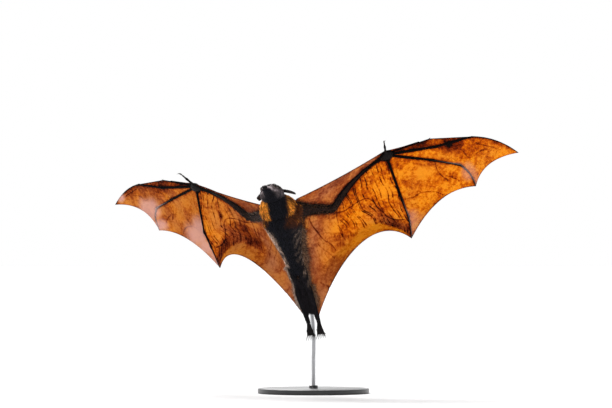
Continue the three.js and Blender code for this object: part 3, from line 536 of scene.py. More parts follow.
class Shader:
    """The nodes of a new material, or of another owner such as the world, added one at a time."""

    def __init__(self, name, owners=bpy.data.materials):
        self.owner = owners.new(name)
        self.owner.use_nodes = True
        self.tree = self.owner.node_tree
        self.tree.nodes.clear()

    def node(self, kind, values=(), **settings):
        made = self.tree.nodes.new("ShaderNode" + kind)
        for key, value in settings.items():
            setattr(made, key, value)
        for socket, value in dict(values).items():
            self.fill(made.inputs[socket], value)
        return made

    def fill(self, socket, value):
        if isinstance(value, bpy.types.NodeSocket):
            self.tree.links.new(value, socket)
        elif isinstance(value, tuple) and len(value) == 3 and socket.type == "RGBA":
            socket.default_value = (*value, 1)
        else:
            socket.default_value = value

    def read(self, name):
        return self.node("Attribute", attribute_name=name).outputs["Fac"]

    def read_vector(self, name):
        return self.node("Attribute", attribute_name=name).outputs["Vector"]

    def place(self):
        return self.node("TexCoord").outputs["Object"]

    def times(self, a, b):
        return self.node("Math", {0: a, 1: b}, operation="MULTIPLY").outputs[0]

    def total(self, first, *others):
        for other in others:
            first = self.node("Math", {0: first, 1: other}, operation="ADD").outputs[0]
        return first

    def span(self, value, low, high, to_low=0.0, to_high=1.0):
        """A value eased from one range onto another."""
        values = {"Value": value, "From Min": low, "From Max": high, "To Min": to_low, "To Max": to_high}
        return self.node("MapRange", values, interpolation_type="SMOOTHSTEP").outputs[0]

    def noise(self, scale, detail=3.0, vector=None, roughness=0.55):
        values = {"Vector": vector or self.place(), "Scale": scale}
        values.update({"Detail": detail, "Roughness": roughness})
        return self.node("TexNoise", values).outputs["Fac"]

    def stretched(self, vector, scale):
        return self.node("VectorMath", {0: vector, 1: scale}, operation="MULTIPLY").outputs[0]

    def blend(self, share, a, b, way="MIX"):
        made = self.node("Mix", data_type="RGBA", blend_type=way)
        for socket, value in zip((made.inputs[0], made.inputs[6], made.inputs[7]), (share, a, b)):
            self.fill(socket, value)
        return made.outputs[2]

    def ramp(self, value, *stops):
        made = self.node("ValToRGB", {"Fac": value})
        points = made.color_ramp.elements
        while len(points) < len(stops):
            points.new(1)
        for point, (place, colour) in zip(points, stops):
            point.position = place
            point.color = (*colour, 1)
        return made.outputs["Color"]

    def bump(self, height, depth_mm):
        return self.node("Bump", {"Height": height, "Distance": depth_mm * MM}).outputs["Normal"]

    def principled(self, colour, roughness, normal=None, **more):
        values = {"Base Color": colour, "Roughness": roughness}
        if normal is not None:
            values["Normal"] = normal
        values.update({key.replace("_", " "): value for key, value in more.items()})
        return self.node("BsdfPrincipled", values).outputs[0]

    def finish(self, surface):
        self.node("OutputMaterial", {"Surface": surface})
        return self.owner


# A membrane's colours by how dense it is: lit from behind, the same behind a veil of reflected
# light, and lit from the front.
GLOW = (
    (0.0, (0.88, 0.50, 0.09)),
    (0.16, (0.76, 0.34, 0.02)),
    (0.38, (0.55, 0.19, 0.006)),
    (0.62, (0.32, 0.085, 0.016)),
    (0.82, (0.16, 0.04, 0.02)),
    (1.0, (0.02, 0.010, 0.010)),
)
VEILED_GLOW = (
    (0.0, (0.68, 0.41, 0.26)),
    (0.4, (0.50, 0.24, 0.15)),
    (0.7, (0.27, 0.09, 0.05)),
    (1.0, (0.03, 0.015, 0.012)),
)
SKIN_SURFACE = (
    (0.0, (0.26, 0.08, 0.02)),
    (0.4, (0.17, 0.05, 0.018)),
    (0.75, (0.04, 0.014, 0.009)),
    (1.0, (0.003, 0.002, 0.002)),
)
# Colours of the painted sheens, paler tints that stand in for light reflected off the membrane.
PAINTED_SHEEN_GLOW = (0.80, 0.58, 0.54)
PAINTED_SHEEN_SURFACE = (0.62, 0.44, 0.42)
# How much each mark on the membrane adds to its density.
DENSITY = {"flesh": 0.8, "band": 0.37, "vein": 0.62, "bone": 1.0}
STRIP_DENSITY = 0.64


def membrane_density(m, mottle, strips, vessels):
    """How much of the light each spot stops: its marks, a darker free edge, and unevenness."""
    cloud = m.noise(30, 3)
    speckle = m.noise(620, 3, roughness=0.6)
    return m.total(
        *(m.times(m.read(name), weight) for name, weight in DENSITY.items()),
        m.times(strips, STRIP_DENSITY),
        vessels,
        m.span(m.read("edge"), 0.3, 2.0, 0.42, 0),
        m.span(mottle, 0.34, 0.66, 0.25, -0.14),
        m.span(speckle, 0.3, 0.7, 0.07, -0.05),
        m.span(cloud, 0.38, 0.62, 0.18, -0.1),
    )


def membrane_material():
    """Thin skin that glows with the light behind it, veined, with muscle strips, dark bones and painted
    sheens.
    """
    m = Shader("membrane")
    mottle, strips, vessels = m.noise(170, 6, roughness=0.7), muscle_strips(m), branching(m)
    dense = membrane_density(m, mottle, strips, vessels)
    # A painted sheen: paler glow and surface where the membrane would reflect light.
    pale = m.read("pale")
    glow = m.blend(m.read("veil"), m.ramp(dense, *GLOW), m.ramp(dense, *VEILED_GLOW))
    glow = m.blend(m.times(pale, 0.8), glow, PAINTED_SHEEN_GLOW)
    surface = m.blend(m.times(pale, 0.6), m.ramp(dense, *SKIN_SURFACE), PAINTED_SHEEN_SURFACE)
    height = m.total(m.times(mottle, 0.7), m.times(strips, 0.8), m.times(vessels, 2.0))
    normal = m.bump(height, 0.6)
    lit = m.principled(surface, 0.7, normal, Specular_IOR_Level=0.04)
    lucent = m.node("BsdfTranslucent", {"Color": glow, "Normal": normal}).outputs[0]
    share = m.span(dense, 0.78, 1.0, 0.82, 0.0)
    return m.finish(m.node("MixShader", {0: share, 1: lit, 2: lucent}).outputs[0])


def branching(m):
    """Fine vessels: two nets of different size, each seen in patches."""
    cloud = m.noise(30, 3)
    wander = m.node("TexNoise", {"Scale": 60.0, "Detail": 2.0}).outputs["Color"]
    bent = m.node("VectorMath", {0: m.place(), 1: m.stretched(wander, (0.007,) * 3)}).outputs[0]
    wide, fine = (
        m.node("TexVoronoi", {"Vector": bent, "Scale": scale}, feature="DISTANCE_TO_EDGE").outputs[0]
        for scale in (48.0, 130.0)
    )
    wide = m.times(m.span(wide, 0.008, 0.032, 1, 0), m.span(cloud, 0.46, 0.6, 0.0, 0.24))
    fine = m.times(m.span(fine, 0.01, 0.06, 1, 0), m.span(cloud, 0.4, 0.62, 0.13, 0.02))
    return m.total(wide, fine)


def muscle_strips(m):
    """Thin dark strips of muscle that run from the arm towards the trailing edge, uneven in strength."""
    shift = m.total(m.times(m.read("run"), 0.1), m.times(m.noise(14, 1), 5.0))
    spot = m.node("TexVoronoi", {"W": shift, "Scale": 1.0, "Randomness": 0.8}, voronoi_dimensions="1D")
    line = m.span(spot.outputs["Distance"], 0.035, 0.14, 1, 0)
    broken = m.span(m.noise(75, 2), 0.4, 0.58, 0.15, 1.0)
    return m.times(m.times(line, m.read("strip")), broken)


def tinted(m, colour, value, *shades):
    """A colour made darker or lighter by a value, along (place, shade) stops."""
    greys = ((place, (shade,) * 3) for place, shade in shades)
    return m.blend(1.0, colour, m.ramp(value, *greys), "MULTIPLY")


def hide_material():
    """The skin under the coat: the coat's own colours, streaked along its lie, or bare and creased."""
    m = Shader("hide")
    streak = m.noise(1.0, 4, m.stretched(m.read_vector("grain"), (900, 110, 900)), 0.6)
    wrinkle = m.noise(420, 4, roughness=0.6)
    bare = m.read("bare")
    colour = tinted(m, m.read_vector("coat"), streak, (0.25, 0.3), (0.75, 1.2))
    leather = m.ramp(wrinkle, (0.3, (0.003, 0.003, 0.003)), (0.7, (0.012, 0.008, 0.008)))
    leather = m.blend(m.read("lip"), leather, (0.09, 0.07, 0.07))
    colour = m.blend(bare, colour, leather)
    height = m.blend(bare, streak, wrinkle)
    return m.finish(m.principled(colour, 0.6, m.bump(height, 0.6), Specular_IOR_Level=0.1))


def fur_material(name, sheen):
    """Locks of fur: the coat's colour, deeper at the root, each lock a little off its neighbours."""
    m = Shader(name)
    colour = tinted(m, m.read_vector("coat"), m.read("tone"), (0.0, 0.35), (0.8, 1.15), (1.0, 1.9))
    colour = tinted(m, colour, m.read("tip"), (0.0, 0.3), (0.65, 0.9), (1.0, 1.5))
    surface = m.principled(
        colour, 0.6, m.bump(m.noise(1800, 2), 0.15), Specular_IOR_Level=0.1,
        Sheen_Weight=sheen, Sheen_Roughness=0.35, Sheen_Tint=(0.7, 0.8, 1.0, 1),
    )
    return m.finish(surface)


def ear_material():
    """A bat's ear: thin black skin, browner and finely ribbed."""
    m = Shader("ear_skin")
    rib = m.noise(1.0, 3, m.stretched(m.read_vector("grain"), (60, 700, 60)), 0.6)
    pore = m.noise(900, 2)
    colour = m.ramp(rib, (0.3, (0.006, 0.005, 0.005)), (0.75, (0.018, 0.012, 0.011)))
    height = m.total(rib, m.times(pore, 0.4))
    return m.finish(m.principled(colour, 0.5, m.bump(height, 0.4), Specular_IOR_Level=0.12))


def nose_material():
    """Moist black nose skin with a fine pebble."""
    m = Shader("nose_pad")
    pebble = m.node("TexVoronoi", {"Scale": 1500.0}).outputs["Distance"]
    colour = m.ramp(pebble, (0.1, (0.008, 0.007, 0.008)), (0.7, (0.003, 0.003, 0.003)))
    surface = m.principled(colour, 0.45, m.bump(pebble, 0.12), Specular_IOR_Level=0.1)
    return m.finish(surface)


def eye_material():
    """A dark pupil in an amber-brown iris, under a wet cornea."""
    m = Shader("eyeball")
    gaze = m.read("gaze")
    spokes = m.noise(1.0, 3, m.stretched(m.read_vector("grain"), (16, 1.2, 1)), 0.6)
    iris = m.ramp(spokes, (0.3, (0.012, 0.005, 0.003)), (0.7, (0.06, 0.02, 0.008)))
    colour = m.blend(m.span(gaze, 22, 27), (0.002, 0.002, 0.002), iris)
    colour = m.blend(m.span(gaze, 40, 47), colour, (0.010, 0.007, 0.006))
    wet = m.span(gaze, 44, 52, 0.08, 0.6)
    return m.finish(m.principled(colour, wet, Specular_IOR_Level=0.32))


def claw_material():
    """Dark horn, worn paler towards the point."""
    m = Shader("claw_horn")
    streak = m.noise(1.0, 3, m.stretched(m.read_vector("grain"), (900, 120, 900)))
    colour = m.ramp(streak, (0.3, (0.010, 0.008, 0.007)), (0.7, (0.045, 0.034, 0.028)))
    colour = m.blend(m.span(m.read("tip"), 0.7, 1.0, 0, 0.5), colour, (0.08, 0.065, 0.055))
    return m.finish(m.principled(colour, 0.3, m.bump(streak, 0.08), Coat_Weight=0.2))


def base_material():
    """Satin black lacquer with faint dust and fine scratches."""
    m = Shader("stand_lacquer")
    dust = m.noise(35, 6, roughness=0.7)
    scratch = m.noise(1.0, 2, m.stretched(m.place(), (40, 900, 40)))
    colour = m.ramp(dust, (0.35, (0.012, 0.012, 0.013)), (0.8, (0.03, 0.03, 0.031)))
    rough = m.span(dust, 0.3, 0.75, 0.3, 0.46)
    return m.finish(m.principled(colour, rough, m.bump(scratch, 0.03), Coat_Weight=0.15))


def rod_material():
    """Brushed steel, drawn along the rod."""
    m = Shader("stand_steel")
    brush = m.noise(1.0, 4, m.stretched(m.read_vector("grain"), (1600, 30, 1600)))
    colour = m.ramp(brush, (0.3, (0.36, 0.37, 0.38)), (0.7, (0.58, 0.58, 0.6)))
    rough = m.span(brush, 0.3, 0.7, 0.24, 0.4)
    return m.finish(m.principled(colour, rough, m.bump(brush, 0.02), Metallic=1.0))


def backdrop_material():
    m = Shader("studio_floor")
    soft = m.noise(4, 2)
    colour = m.ramp(soft, (0.3, (0.86, 0.86, 0.865)), (0.7, (0.88, 0.88, 0.885)))
    return m.finish(m.principled(colour, 0.8, Specular_IOR_Level=0.1))


def dress(obj, material, slot, *nodes):
    """Hands a finished piece its material and its place in the frame."""
    obj.data.materials.append(material)
    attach(obj, "root")
    if nodes:
        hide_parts(*nodes)
    return obj


# ---------------------------------------------------------------- the limbs under the skin


class Limb:
    """A length of the body: its axis, its half sizes coat included, and the coat on it."""

    def __init__(self, name, path, sizes, side, coat, lie, fur, bare=((0, 0), (1, 0))):
        self.name, self.path, self.sizes, self.side = name, path, sizes, side
        self.coat, self.lie, self.fur, self.bare = coat, lie, fur, bare

    def body(self, **detail):
        under_coat = lambda s: np.maximum(self.sizes(s) - self.coat, 0.6 * self.sizes(s))
        return tube(self.path, under_coat, self.side, **detail)

    def measure(self, points):
        """Each point's place along the limb, share of its radius from the axis, and angle round it."""
        s = np.linspace(0, 1, 50)
        line = self.path.at(s)
        gap = ((points[:, None] - line[None]) ** 2).sum(axis=2)
        nearest = np.argmin(gap, axis=1)
        offset = points - line[nearest]
        way = self.path.way(s)[nearest]
        slide = np.clip(np.einsum("ij,ij->i", offset, way), -self.path.length / 98, self.path.length / 98)
        s = np.clip(s[nearest] + slide / self.path.length, 0, 1)
        offset = points - self.path.at(s)
        across = square(np.broadcast_to(self.side, way.shape), way)
        x = np.einsum("ij,ij->i", offset, across)
        y = np.einsum("ij,ij->i", offset, np.cross(way, across))
        size = self.sizes(s)
        radius = (size[:, 0] + size[:, 1] + size[:, 2]) / 3
        return s, np.linalg.norm(offset, axis=1) / radius, np.arctan2(y, x), way * self.lie, radius


def uneven(width, over, under):
    return lambda s: np.stack([along(width, s), along(over, s), along(under, s)], axis=1)


NO_FUR = ((0, 0), (1, 0))
ALL_BARE = ((0, 1), (1, 1))


def trunk_limb(coat, lie, fur):
    return Limb("trunk", TRUNK_PATH, uneven(TRUNK_WIDTH, TRUNK_BACK, TRUNK_BELLY), LEFT, coat, lie, fur)


def foot_sizes(s):
    return np.stack([lerp(3.6, 7.4, s), lerp(3.4, 2.9, s), lerp(3.4, 2.9, s)], axis=1)


def wrist_sizes(s):
    return along(WRIST_GIRTH, s)[:, None] * (WRIST["across"], WRIST["deep"], WRIST["deep"])


def wing_limbs(name, wing):
    """The furred or bare lengths of one arm and one leg."""
    wrist_path = curve(
        wing.wrist - heading(*wing.pose["forearm"]) * WRIST["back"],
        wing.wrist,
        wing.wrist + heading(*wing.pose["digit3"][0]) * WRIST["reach"],
    )
    foot_path = Path([wing.ankle + wing.foot_way * 2, wing.ankle + wing.foot_way * FOOT])
    thigh, shank = Path([wing.hip, wing.knee]), Path([wing.knee, wing.ankle])
    rows = (
        ("upper_arm", wing.upper_arm, even(UPPER_ARM_GIRTH, ARM_FLAT), wing.lead, 2.6,
         ((0, 10), (0.5, 7), (1, 5))),
        ("forearm", wing.forearm, even(FOREARM_GIRTH, ARM_FLAT), wing.lead, 0.5,
         ((0, 5), (0.25, 3.4), (0.5, 1.8), (0.65, 0), (1, 0)), ((0, 0), (0.3, 0.1), (0.6, 1), (1, 1))),
        ("wrist", wrist_path, wrist_sizes, wing.lead, 0.1, NO_FUR, ALL_BARE),
        ("thumb", wing.thumb, even(THUMB_GIRTH), wing.lead, 0, NO_FUR, ALL_BARE),
        ("thigh", thigh, even(THIGH_GIRTH), LEFT, 3, ((0, 8), (1, 6))),
        ("shank", shank, even(SHANK_GIRTH), LEFT, 1.3, ((0, 6), (0.6, 5), (1, 4))),
        ("foot", foot_path, foot_sizes, LEFT, 0.1, ((0, 2), (0.5, 1.2), (1, 0.8)),
         ((0, 0.3), (0.5, 0.8), (1, 1))),
    )
    return [
        Limb(f"{part}_{name}", path, sizes, side, coat, 1, *furs)
        for part, path, sizes, side, coat, *furs in rows
    ]


def body_limbs():
    head_sizes = uneven(HEAD_WIDTH, HEAD_CROWN, HEAD_JAW)
    limbs = [
        trunk_limb(5, -1, ((0, 6), (0.3, 8), (0.8, 10), (1, 12))),
        Limb("neck", NECK_PATH, uneven(NECK_WIDTH, NECK_DEPTH, NECK_DEPTH), LEFT, 3, 1,
             ((0, 8), (0.45, 16), (1, 15))),
        Limb("head", HEAD_PATH, head_sizes, HEAD_LEFT, 1.6, -1,
             ((0, 7), (0.3, 5), (0.5, 3.2), (0.65, 2.1), (0.85, 1.3), (1, 0.9))),
    ]
    for name, wing in WING.items():
        limbs += wing_limbs(name, wing)
    return limbs


def tail_web():
    """The narrow furred web between the legs, as a thick closed sheet."""
    rows, columns = 16, 9
    s, u = np.meshgrid(np.linspace(0, 1, rows), np.linspace(0, 1, columns), indexing="ij")
    s, u = s.ravel(), u.ravel()
    t = lerp(0.22, 1, s)
    sides = []
    for wing in (WING["right"], WING["left"]):
        upper = lerp(wing.hip, wing.knee, np.minimum(t * 2, 1)[:, None])
        lower = lerp(wing.knee, wing.ankle, (np.maximum(t - 0.5, 0) * 1.64)[:, None])
        sides.append(np.where((t < 0.5)[:, None], upper, lower))
    arch = 28 * u * (1 - u) * s**2
    middle = lerp(sides[0], sides[1], u[:, None]) - heading(*WING["left"].pose["shank"]) * arch[:, None]
    points, faces, _ = closed_sheet(middle, np.full(len(middle), 1.0), grid_faces(rows, columns))
    return points, np.vstack(faces), np.empty((0, 3), int)


def closed_sheet(middle, half, *sheets):
    """A sheet given thickness on both sides of its middle: its points, faces and normals."""
    normal = normals_of(middle, sheets[0])
    points = np.vstack([middle + normal * half[:, None], middle - normal * half[:, None]])
    n = len(middle)
    faces = [side for f in sheets for side in (f, f[:, ::-1] + n)]
    pairs = np.vstack([np.stack([f, np.roll(f, -1, axis=1)], axis=-1).reshape(-1, 2) for f in sheets])
    lone = pairs[~np.isin(pairs[:, 0] * n + pairs[:, 1], pairs[:, 1] * n + pairs[:, 0])]
    faces.append(np.stack([lone[:, 1], lone[:, 0], lone[:, 0] + n, lone[:, 1] + n], axis=1))
    return points, faces, normal


# ---------------------------------------------------------------- the skin and its markings

BLACK = np.array((0.0055, 0.0052, 0.0085))
SOOT = np.array((0.013, 0.010, 0.012))
GRIZZLE = np.array((0.30, 0.21, 0.16))
BROWN = np.array((0.055, 0.026, 0.014))
ORANGE = np.array((0.86, 0.30, 0.03))
RUST = np.array((0.13, 0.036, 0.009))
GREY = np.array((0.12, 0.095, 0.098))
CROWN = np.array((0.045, 0.030, 0.024))
# A pinkish grey, brightened so that it stands partly for a painted highlight on the snout's top.
PALE_WITH_HIGHLIGHT = np.array((0.80, 0.66, 0.68))


def mixed(a, b, share):
    return a + (b - a) * np.clip(share, 0, 1)[:, None]


WEDGE = 13                            # half the width of the black throat that parts the mantle
MANTLE_FRONT, MANTLE_REAR = -14, -22  # the mantle's lowest reach from the shoulders


def body_colour(limbs, measured, weights, ragged, fine):
    """Brown behind, black in front, sooty arms and legs, and grizzled flanks, the right one paler, partly a
    painted sheen.
    """
    names = [limb.name for limb in limbs]
    _, _, trunk_angle, _, _ = measured[names.index("trunk")]
    colour = mixed(BROWN, BLACK, ease(-0.35, 0.35, ragged * 0.3 - np.sin(trunk_angle)))
    for k, name in enumerate(names):
        if name.startswith(("shank", "thigh", "foot")):
            colour = mixed(colour, SOOT, weights[:, k])
        if "arm" in name:
            colour = mixed(colour, (SOOT + BROWN) / 2, weights[:, k])
    s_trunk = measured[names.index("trunk")][0]
    for k, name in enumerate(names):
        if name.startswith(("trunk", "thigh")):
            ends, low = (ease(0.05, 0.22, s_trunk), 0.35) if name == "trunk" else (1, 0.05)
            outward = np.cos(measured[k][2]) * weights[:, k] * ease(0.95, 0.7, s_trunk) * ends
            if not name.endswith("left"):
                # The right flank: grizzled hair brightened 2.2 times, partly its own colour and partly a
                # painted sheen.
                share = ease(low, low + 0.5, -outward) * ease(-0.7, 0.2, ragged)
                colour = mixed(colour, GRIZZLE * 2.2, share)
            if not name.endswith("right"):
                share = ease(low + 0.2, low + 0.6, outward) * ease(-0.3, 0.7, fine)
                colour = mixed(colour, GRIZZLE * 0.6, share)
    return colour


def with_mantle(colour, points, limbs, measured, weights, broad, fine):
    """The mantle: from behind the ears down over the shoulders, parted by the black throat, its right side
    painted brighter for the light on it.
    """
    ragged = broad * 0.6 + fine * 0.4
    from_shoulders = (points - SHOULDERS) @ SPINE_WAY
    sideways = (points - SHOULDERS) @ LEFT - lerp(-6, 4, ease(-10, 25, from_shoulders))
    in_front = (points - SHOULDERS) @ BACK < 0
    aside = np.where(in_front, ease(WEDGE, WEDGE + 9, np.abs(sideways) + ragged * 5), 1)
    lowest = np.where(in_front, MANTLE_FRONT, MANTLE_REAR)
    mantle = aside * ease(lowest - 8, lowest + 12, from_shoulders + ragged * 9)
    arm = 0
    for k, limb in enumerate(limbs):
        if "arm" in limb.name:
            arm = arm + weights[:, k] * (1 if "fore" in limb.name else ease(0.0, 0.12, measured[k][0]))
    mantle = mantle * (1 - ease(0.3, 0.7, arm))
    # Richer by noise and towards the head; the right side's extra richness is a painted glow of the light on
    # that side.
    richness_and_side_light = fine * 0.9 + broad * 0.6 + (from_shoulders - 14) / 40 + 0.5 * (sideways < 0)
    gold = mixed(RUST, ORANGE, ease(-0.2, 0.75, richness_and_side_light))
    gold = mixed(gold, RUST * 0.5, (1 - aside) * 0.8)
    return mixed(colour, gold, mantle)


def face_colour(points, ragged):
    """Brown crown, grey cheeks, a paler snout top that is partly its own colour and partly a painted
    highlight, a paler ring round each eye, black throat and chin.
    """
    left, up, forward = head_places(points).T
    face = mixed(CROWN, GREY, ease(9, 2, up + ragged * 3))
    # The top of the snout: partly its own paler colour, partly a painted highlight.
    muzzle_top_and_highlight = ease(13, 22, forward) * ease(-5, 1, up + ragged) * ease(8.5, 6, up)
    face = mixed(face, PALE_WITH_HIGHLIGHT, muzzle_top_and_highlight * 0.9)
    for side in (1, -1):
        to_eye = np.linalg.norm(points - in_head(EYE_PLACE, side), axis=1)
        around = ease(11, 8, to_eye) * ease(6, 10, forward)
        face = mixed(face, PALE_WITH_HIGHLIGHT * 0.8, around * 0.75)
    chin = ease(11.5, 6.5, np.abs(left - 0.5) + ragged * 2) * ease(1.5, -2.5, up + ragged)
    face = mixed(face, BLACK * 1.2, chin)
    return mixed(face, BLACK, ease(-4, -13, up + ragged * 3))


def coat_colour(points, limbs, measured, weights):
    """The coat's markings, and a little unevenness over them all."""
    broad, fine = noise(points, 16, 1), noise(points, 4.5, 2)
    ragged = broad * 0.6 + fine * 0.4
    colour = body_colour(limbs, measured, weights, ragged, fine)
    colour = with_mantle(colour, points, limbs, measured, weights, broad, fine)
    head = [limb.name for limb in limbs].index("head")
    on_head = ease(-25, -16, head_places(points)[:, 2]) * ease(0.3, 0.6, weights[:, head])
    colour = mixed(colour, face_colour(points, ragged), on_head)
    return np.clip(colour, 0.003, 1) * (1 + 0.45 * fine)[:, None]


def sculpted(points):
    """The folds of the face: lids round each eye, a mouth line, a furrow below the nose."""
    place = head_places(points)
    left, up, forward = place.T
    normal_out = unit(points - in_head((0, 0, 8)))
    gape = -4.2 + 0.09 * (forward - 34)
    mouth = np.exp(-(((up - gape) / 1.1) ** 2)) * ease(8, 14, forward) * ease(37, 34, forward)
    lip = np.exp(-(((up - gape - 2.2) / 1.4) ** 2)) * ease(10, 16, forward)
    furrow = np.exp(-((left / 0.8) ** 2)) * ease(29, 33, forward) * ease(gape, gape + 2, up)
    points = points + normal_out * (0.35 * lip - 1.1 * mouth - 0.5 * furrow)[:, None]
    for side in (1, -1):
        centre, gaze = in_head(EYE_PLACE, side), head_way(GAZE, side)
        offset = points - centre
        r = np.linalg.norm(offset, axis=1)
        way = offset / r[:, None]
        lid_up = square(HEAD_UP, gaze)
        lid_side = np.cross(gaze, lid_up)
        open_x, open_y = LID_OPENING
        ring = np.hypot((way @ lid_side) / open_x, (way @ lid_up) / open_y)
        near = (r < EYE_RADIUS * 2.2) & (way @ gaze > 0)
        inside = near & (ring < 1)
        lids = near & (ring >= 1) & (ring < 2.6)
        crest = EYE_RADIUS + LID
        rise = lerp(crest, r, ease(1.35, 2.6, ring))
        radius = np.where(inside, EYE_RADIUS * 0.8, np.where(lids, np.maximum(rise, crest * (ring < 1.5)), r))
        points = centre + way * radius[:, None]
    return points


# The swellings on each side of the face: (place, heading, half length, half width, half depth).
FACE_LUMPS = {
    "brow": ((9.5, 12.5, 7), (0.2, -0.1, 1), 8, 5, 3.4),
    "cheek": ((14.5, -3, 3), (-0.25, 0, 1), 12, 7, 8),
    "whiskers": ((4.6, -0.6, 29), (-0.1, 0, 1), 7, 4, 4.4),
}
TOE_GIRTH = ((0, 2.0), (0.4, 1.75), (0.6, 1.9), (0.85, 1.6), (1, 1.5))
NOSE_PLACE = (0, 0.8, MUZZLE - 1)


def build_skin(limbs):
    """One skin over head, body, arms, legs and feet."""
    parts = [limb.body() for limb in limbs if not limb.name.startswith(("foot", "head"))]
    parts.append(next(limb for limb in limbs if limb.name == "head").body(rings=40, sides=32, cap=0.3))
    parts.append(tail_web())
    for side in (1, -1):
        for place, way, *half_sizes in FACE_LUMPS.values():
            parts.append(lump(in_head(place, side), head_way(way, side), HEAD_LEFT, *half_sizes))
    parts.append(lump(in_head((0, -6.2, 27)), HEAD_FORWARD, HEAD_LEFT, 7.5, 4.4, 2.8))
    for wing in WING.values():
        foot = next(limb for limb in limbs if limb.name == f"foot_{wing.name}")
        parts.append(foot.body(rings=12))
        parts += [tube(wing.toe(k), even(TOE_GIRTH), LEFT, 12, 12) for k in range(TOES)]
    points, quads = fused("bat_skin", parts, SKIN_VOXEL)
    edges = edges_of([quads])
    points = relaxed(points, edges, 0.5, 4)
    slender = np.full(len(points), 0.0)
    for limb in limbs:
        if limb.name in ("trunk", "neck") or limb.name.startswith(("upper_arm", "thigh")):
            s, share, *_ = limb.measure(points)
            far_end = 1 if limb.name in ("trunk", "neck") else ease(1, 0.85, s)
            slender = np.maximum(slender, ease(1.4, 1.0, share) * ease(0, 0.12, s) * far_end)
    calm = 0.55 * ease(0.2, 0.8, slender)[:, None]
    points = relaxed(points, edges, calm, 60)
    return refined_head(points, quads)


def refined_head(points, quads):
    """The head's and feet's faces are cut in four, and the face is sculpted."""
    centre = points[quads].mean(axis=1)
    _, up, forward = head_places(centre).T
    chosen = (forward > -8) & (up > -16)
    for wing in WING.values():
        chosen |= (centre - wing.ankle) @ wing.foot_way > 0
    old, cut = quads[~chosen], quads[chosen]
    edges = edges_of([cut])
    code = {(a, b): len(points) + k for k, (a, b) in enumerate(edges.tolist())}
    middle = points[edges].mean(axis=1)
    heart = points[cut].mean(axis=1)
    heart_at = len(points) + len(edges) + np.arange(len(cut))
    halves = np.array([[code[tuple(sorted((q[k], q[(k + 1) % 4])))] for k in range(4)] for q in cut.tolist()])
    small = [np.stack([cut[:, k], halves[:, k], heart_at, halves[:, k - 1]], axis=1) for k in range(4)]
    points = np.vstack([points, middle, heart])
    # A face beside the cut ones takes the new corners on its own edges.
    side_faces = {}
    for q in old.tolist():
        extra = [code.get(tuple(sorted((q[k], q[(k + 1) % 4])))) for k in range(4)]
        corners = [c for k in range(4) for c in (q[k], extra[k]) if c is not None]
        side_faces.setdefault(len(corners), []).append(corners)
    faces = [np.vstack(small)] + [np.array(f) for f in side_faces.values()]
    fine = np.zeros(len(points), bool)
    fine[np.vstack(small).ravel()] = True
    edges = edges_of(faces)
    points = relaxed(points, edges, 0.45 * fine[:, None], 3)
    points = sculpted(points)
    return relaxed(points, edges, 0.3 * fine[:, None], 1), faces


def limb_weights(limbs, points):
    measured = [limb.measure(points) for limb in limbs]
    pull = np.stack([np.exp(-5 * share**2) for _, share, _, _, _ in measured], axis=1) + 1e-12
    return measured, pull / pull.sum(axis=1, keepdims=True)


def blended(values, weights):
    return np.einsum("ij,ij->i", np.stack(values, axis=1), weights)


class Hide:
    """The skin with all that the coat needs to know at each of its points."""

    def __init__(self, limbs, points, faces):
        self.points, self.faces, self.limbs = points, faces, limbs
        self.normal = normals_of(points, *[f for f in faces if f.shape[1] == 4])
        measured, weights = limb_weights(limbs, points)
        self.measured, self.weights = measured, weights
        lie = sum(m[3] * weights[:, k:k + 1] for k, m in enumerate(measured))
        self.lie = square(lie, self.normal)
        self.fur = blended([along(l.fur, m[0]) for l, m in zip(limbs, measured)], weights)
        self.bare = blended([along(l.bare, m[0]) for l, m in zip(limbs, measured)], weights)
        self.fur *= self.face_share()
        self.colour = coat_colour(points, limbs, measured, weights)
        self.main = np.argmax(weights, axis=1)
        rows = np.arange(len(points))
        s = np.stack([m[0] for m in measured], axis=1)[rows, self.main]
        angle = np.stack([m[2] for m in measured], axis=1)[rows, self.main]
        radius = np.stack([m[4] for m in measured], axis=1)[rows, self.main]
        length = np.array([limb.path.length for limb in limbs])[self.main]
        self.grain = np.stack([angle * radius, s * length, self.main * 40.0], axis=1) * MM
        self.place = np.stack([(angle / (2 * math.pi) + 0.75) % 1, s], axis=1)

    def face_share(self):
        """Fur stops at the nose and the rims of the lids."""
        to_nose = np.linalg.norm(self.points - in_head(NOSE_PLACE), axis=1)
        share = ease(4.5, 8, to_nose)
        self.lip = np.zeros(len(self.points))
        for side in (1, -1):
            gap = np.linalg.norm(self.points - in_head(EYE_PLACE, side), axis=1)
            share = share * ease(EYE_RADIUS + 0.9, EYE_RADIUS + 3.2, gap)
            self.lip = np.maximum(self.lip, ease(EYE_RADIUS + 2.4, EYE_RADIUS + 1.2, gap))
        self.bare = np.maximum.reduce([self.bare, self.lip * 0.9, ease(6.5, 4.5, to_nose)])
        return share


def show_skin(hide):
    obj = mesh_object("bat_skin", hide.points, *hide.faces)
    mark(obj, "coat", hide.colour)
    mark(obj, "bare", hide.bare)
    mark(obj, "lip", hide.lip)
    mark(obj, "grain", hide.grain)
    names = ["trunk", "neck", "head", "uropatagium"]
    for side in WINGS:
        names += [f"{n}_{side}" for n in ("upper_arm", "forearm", "wrist", "thumb", "thigh", "shank", "foot")]
    return dress(obj, hide_material(), "body_fur", *names)


# ---------------------------------------------------------------- fur

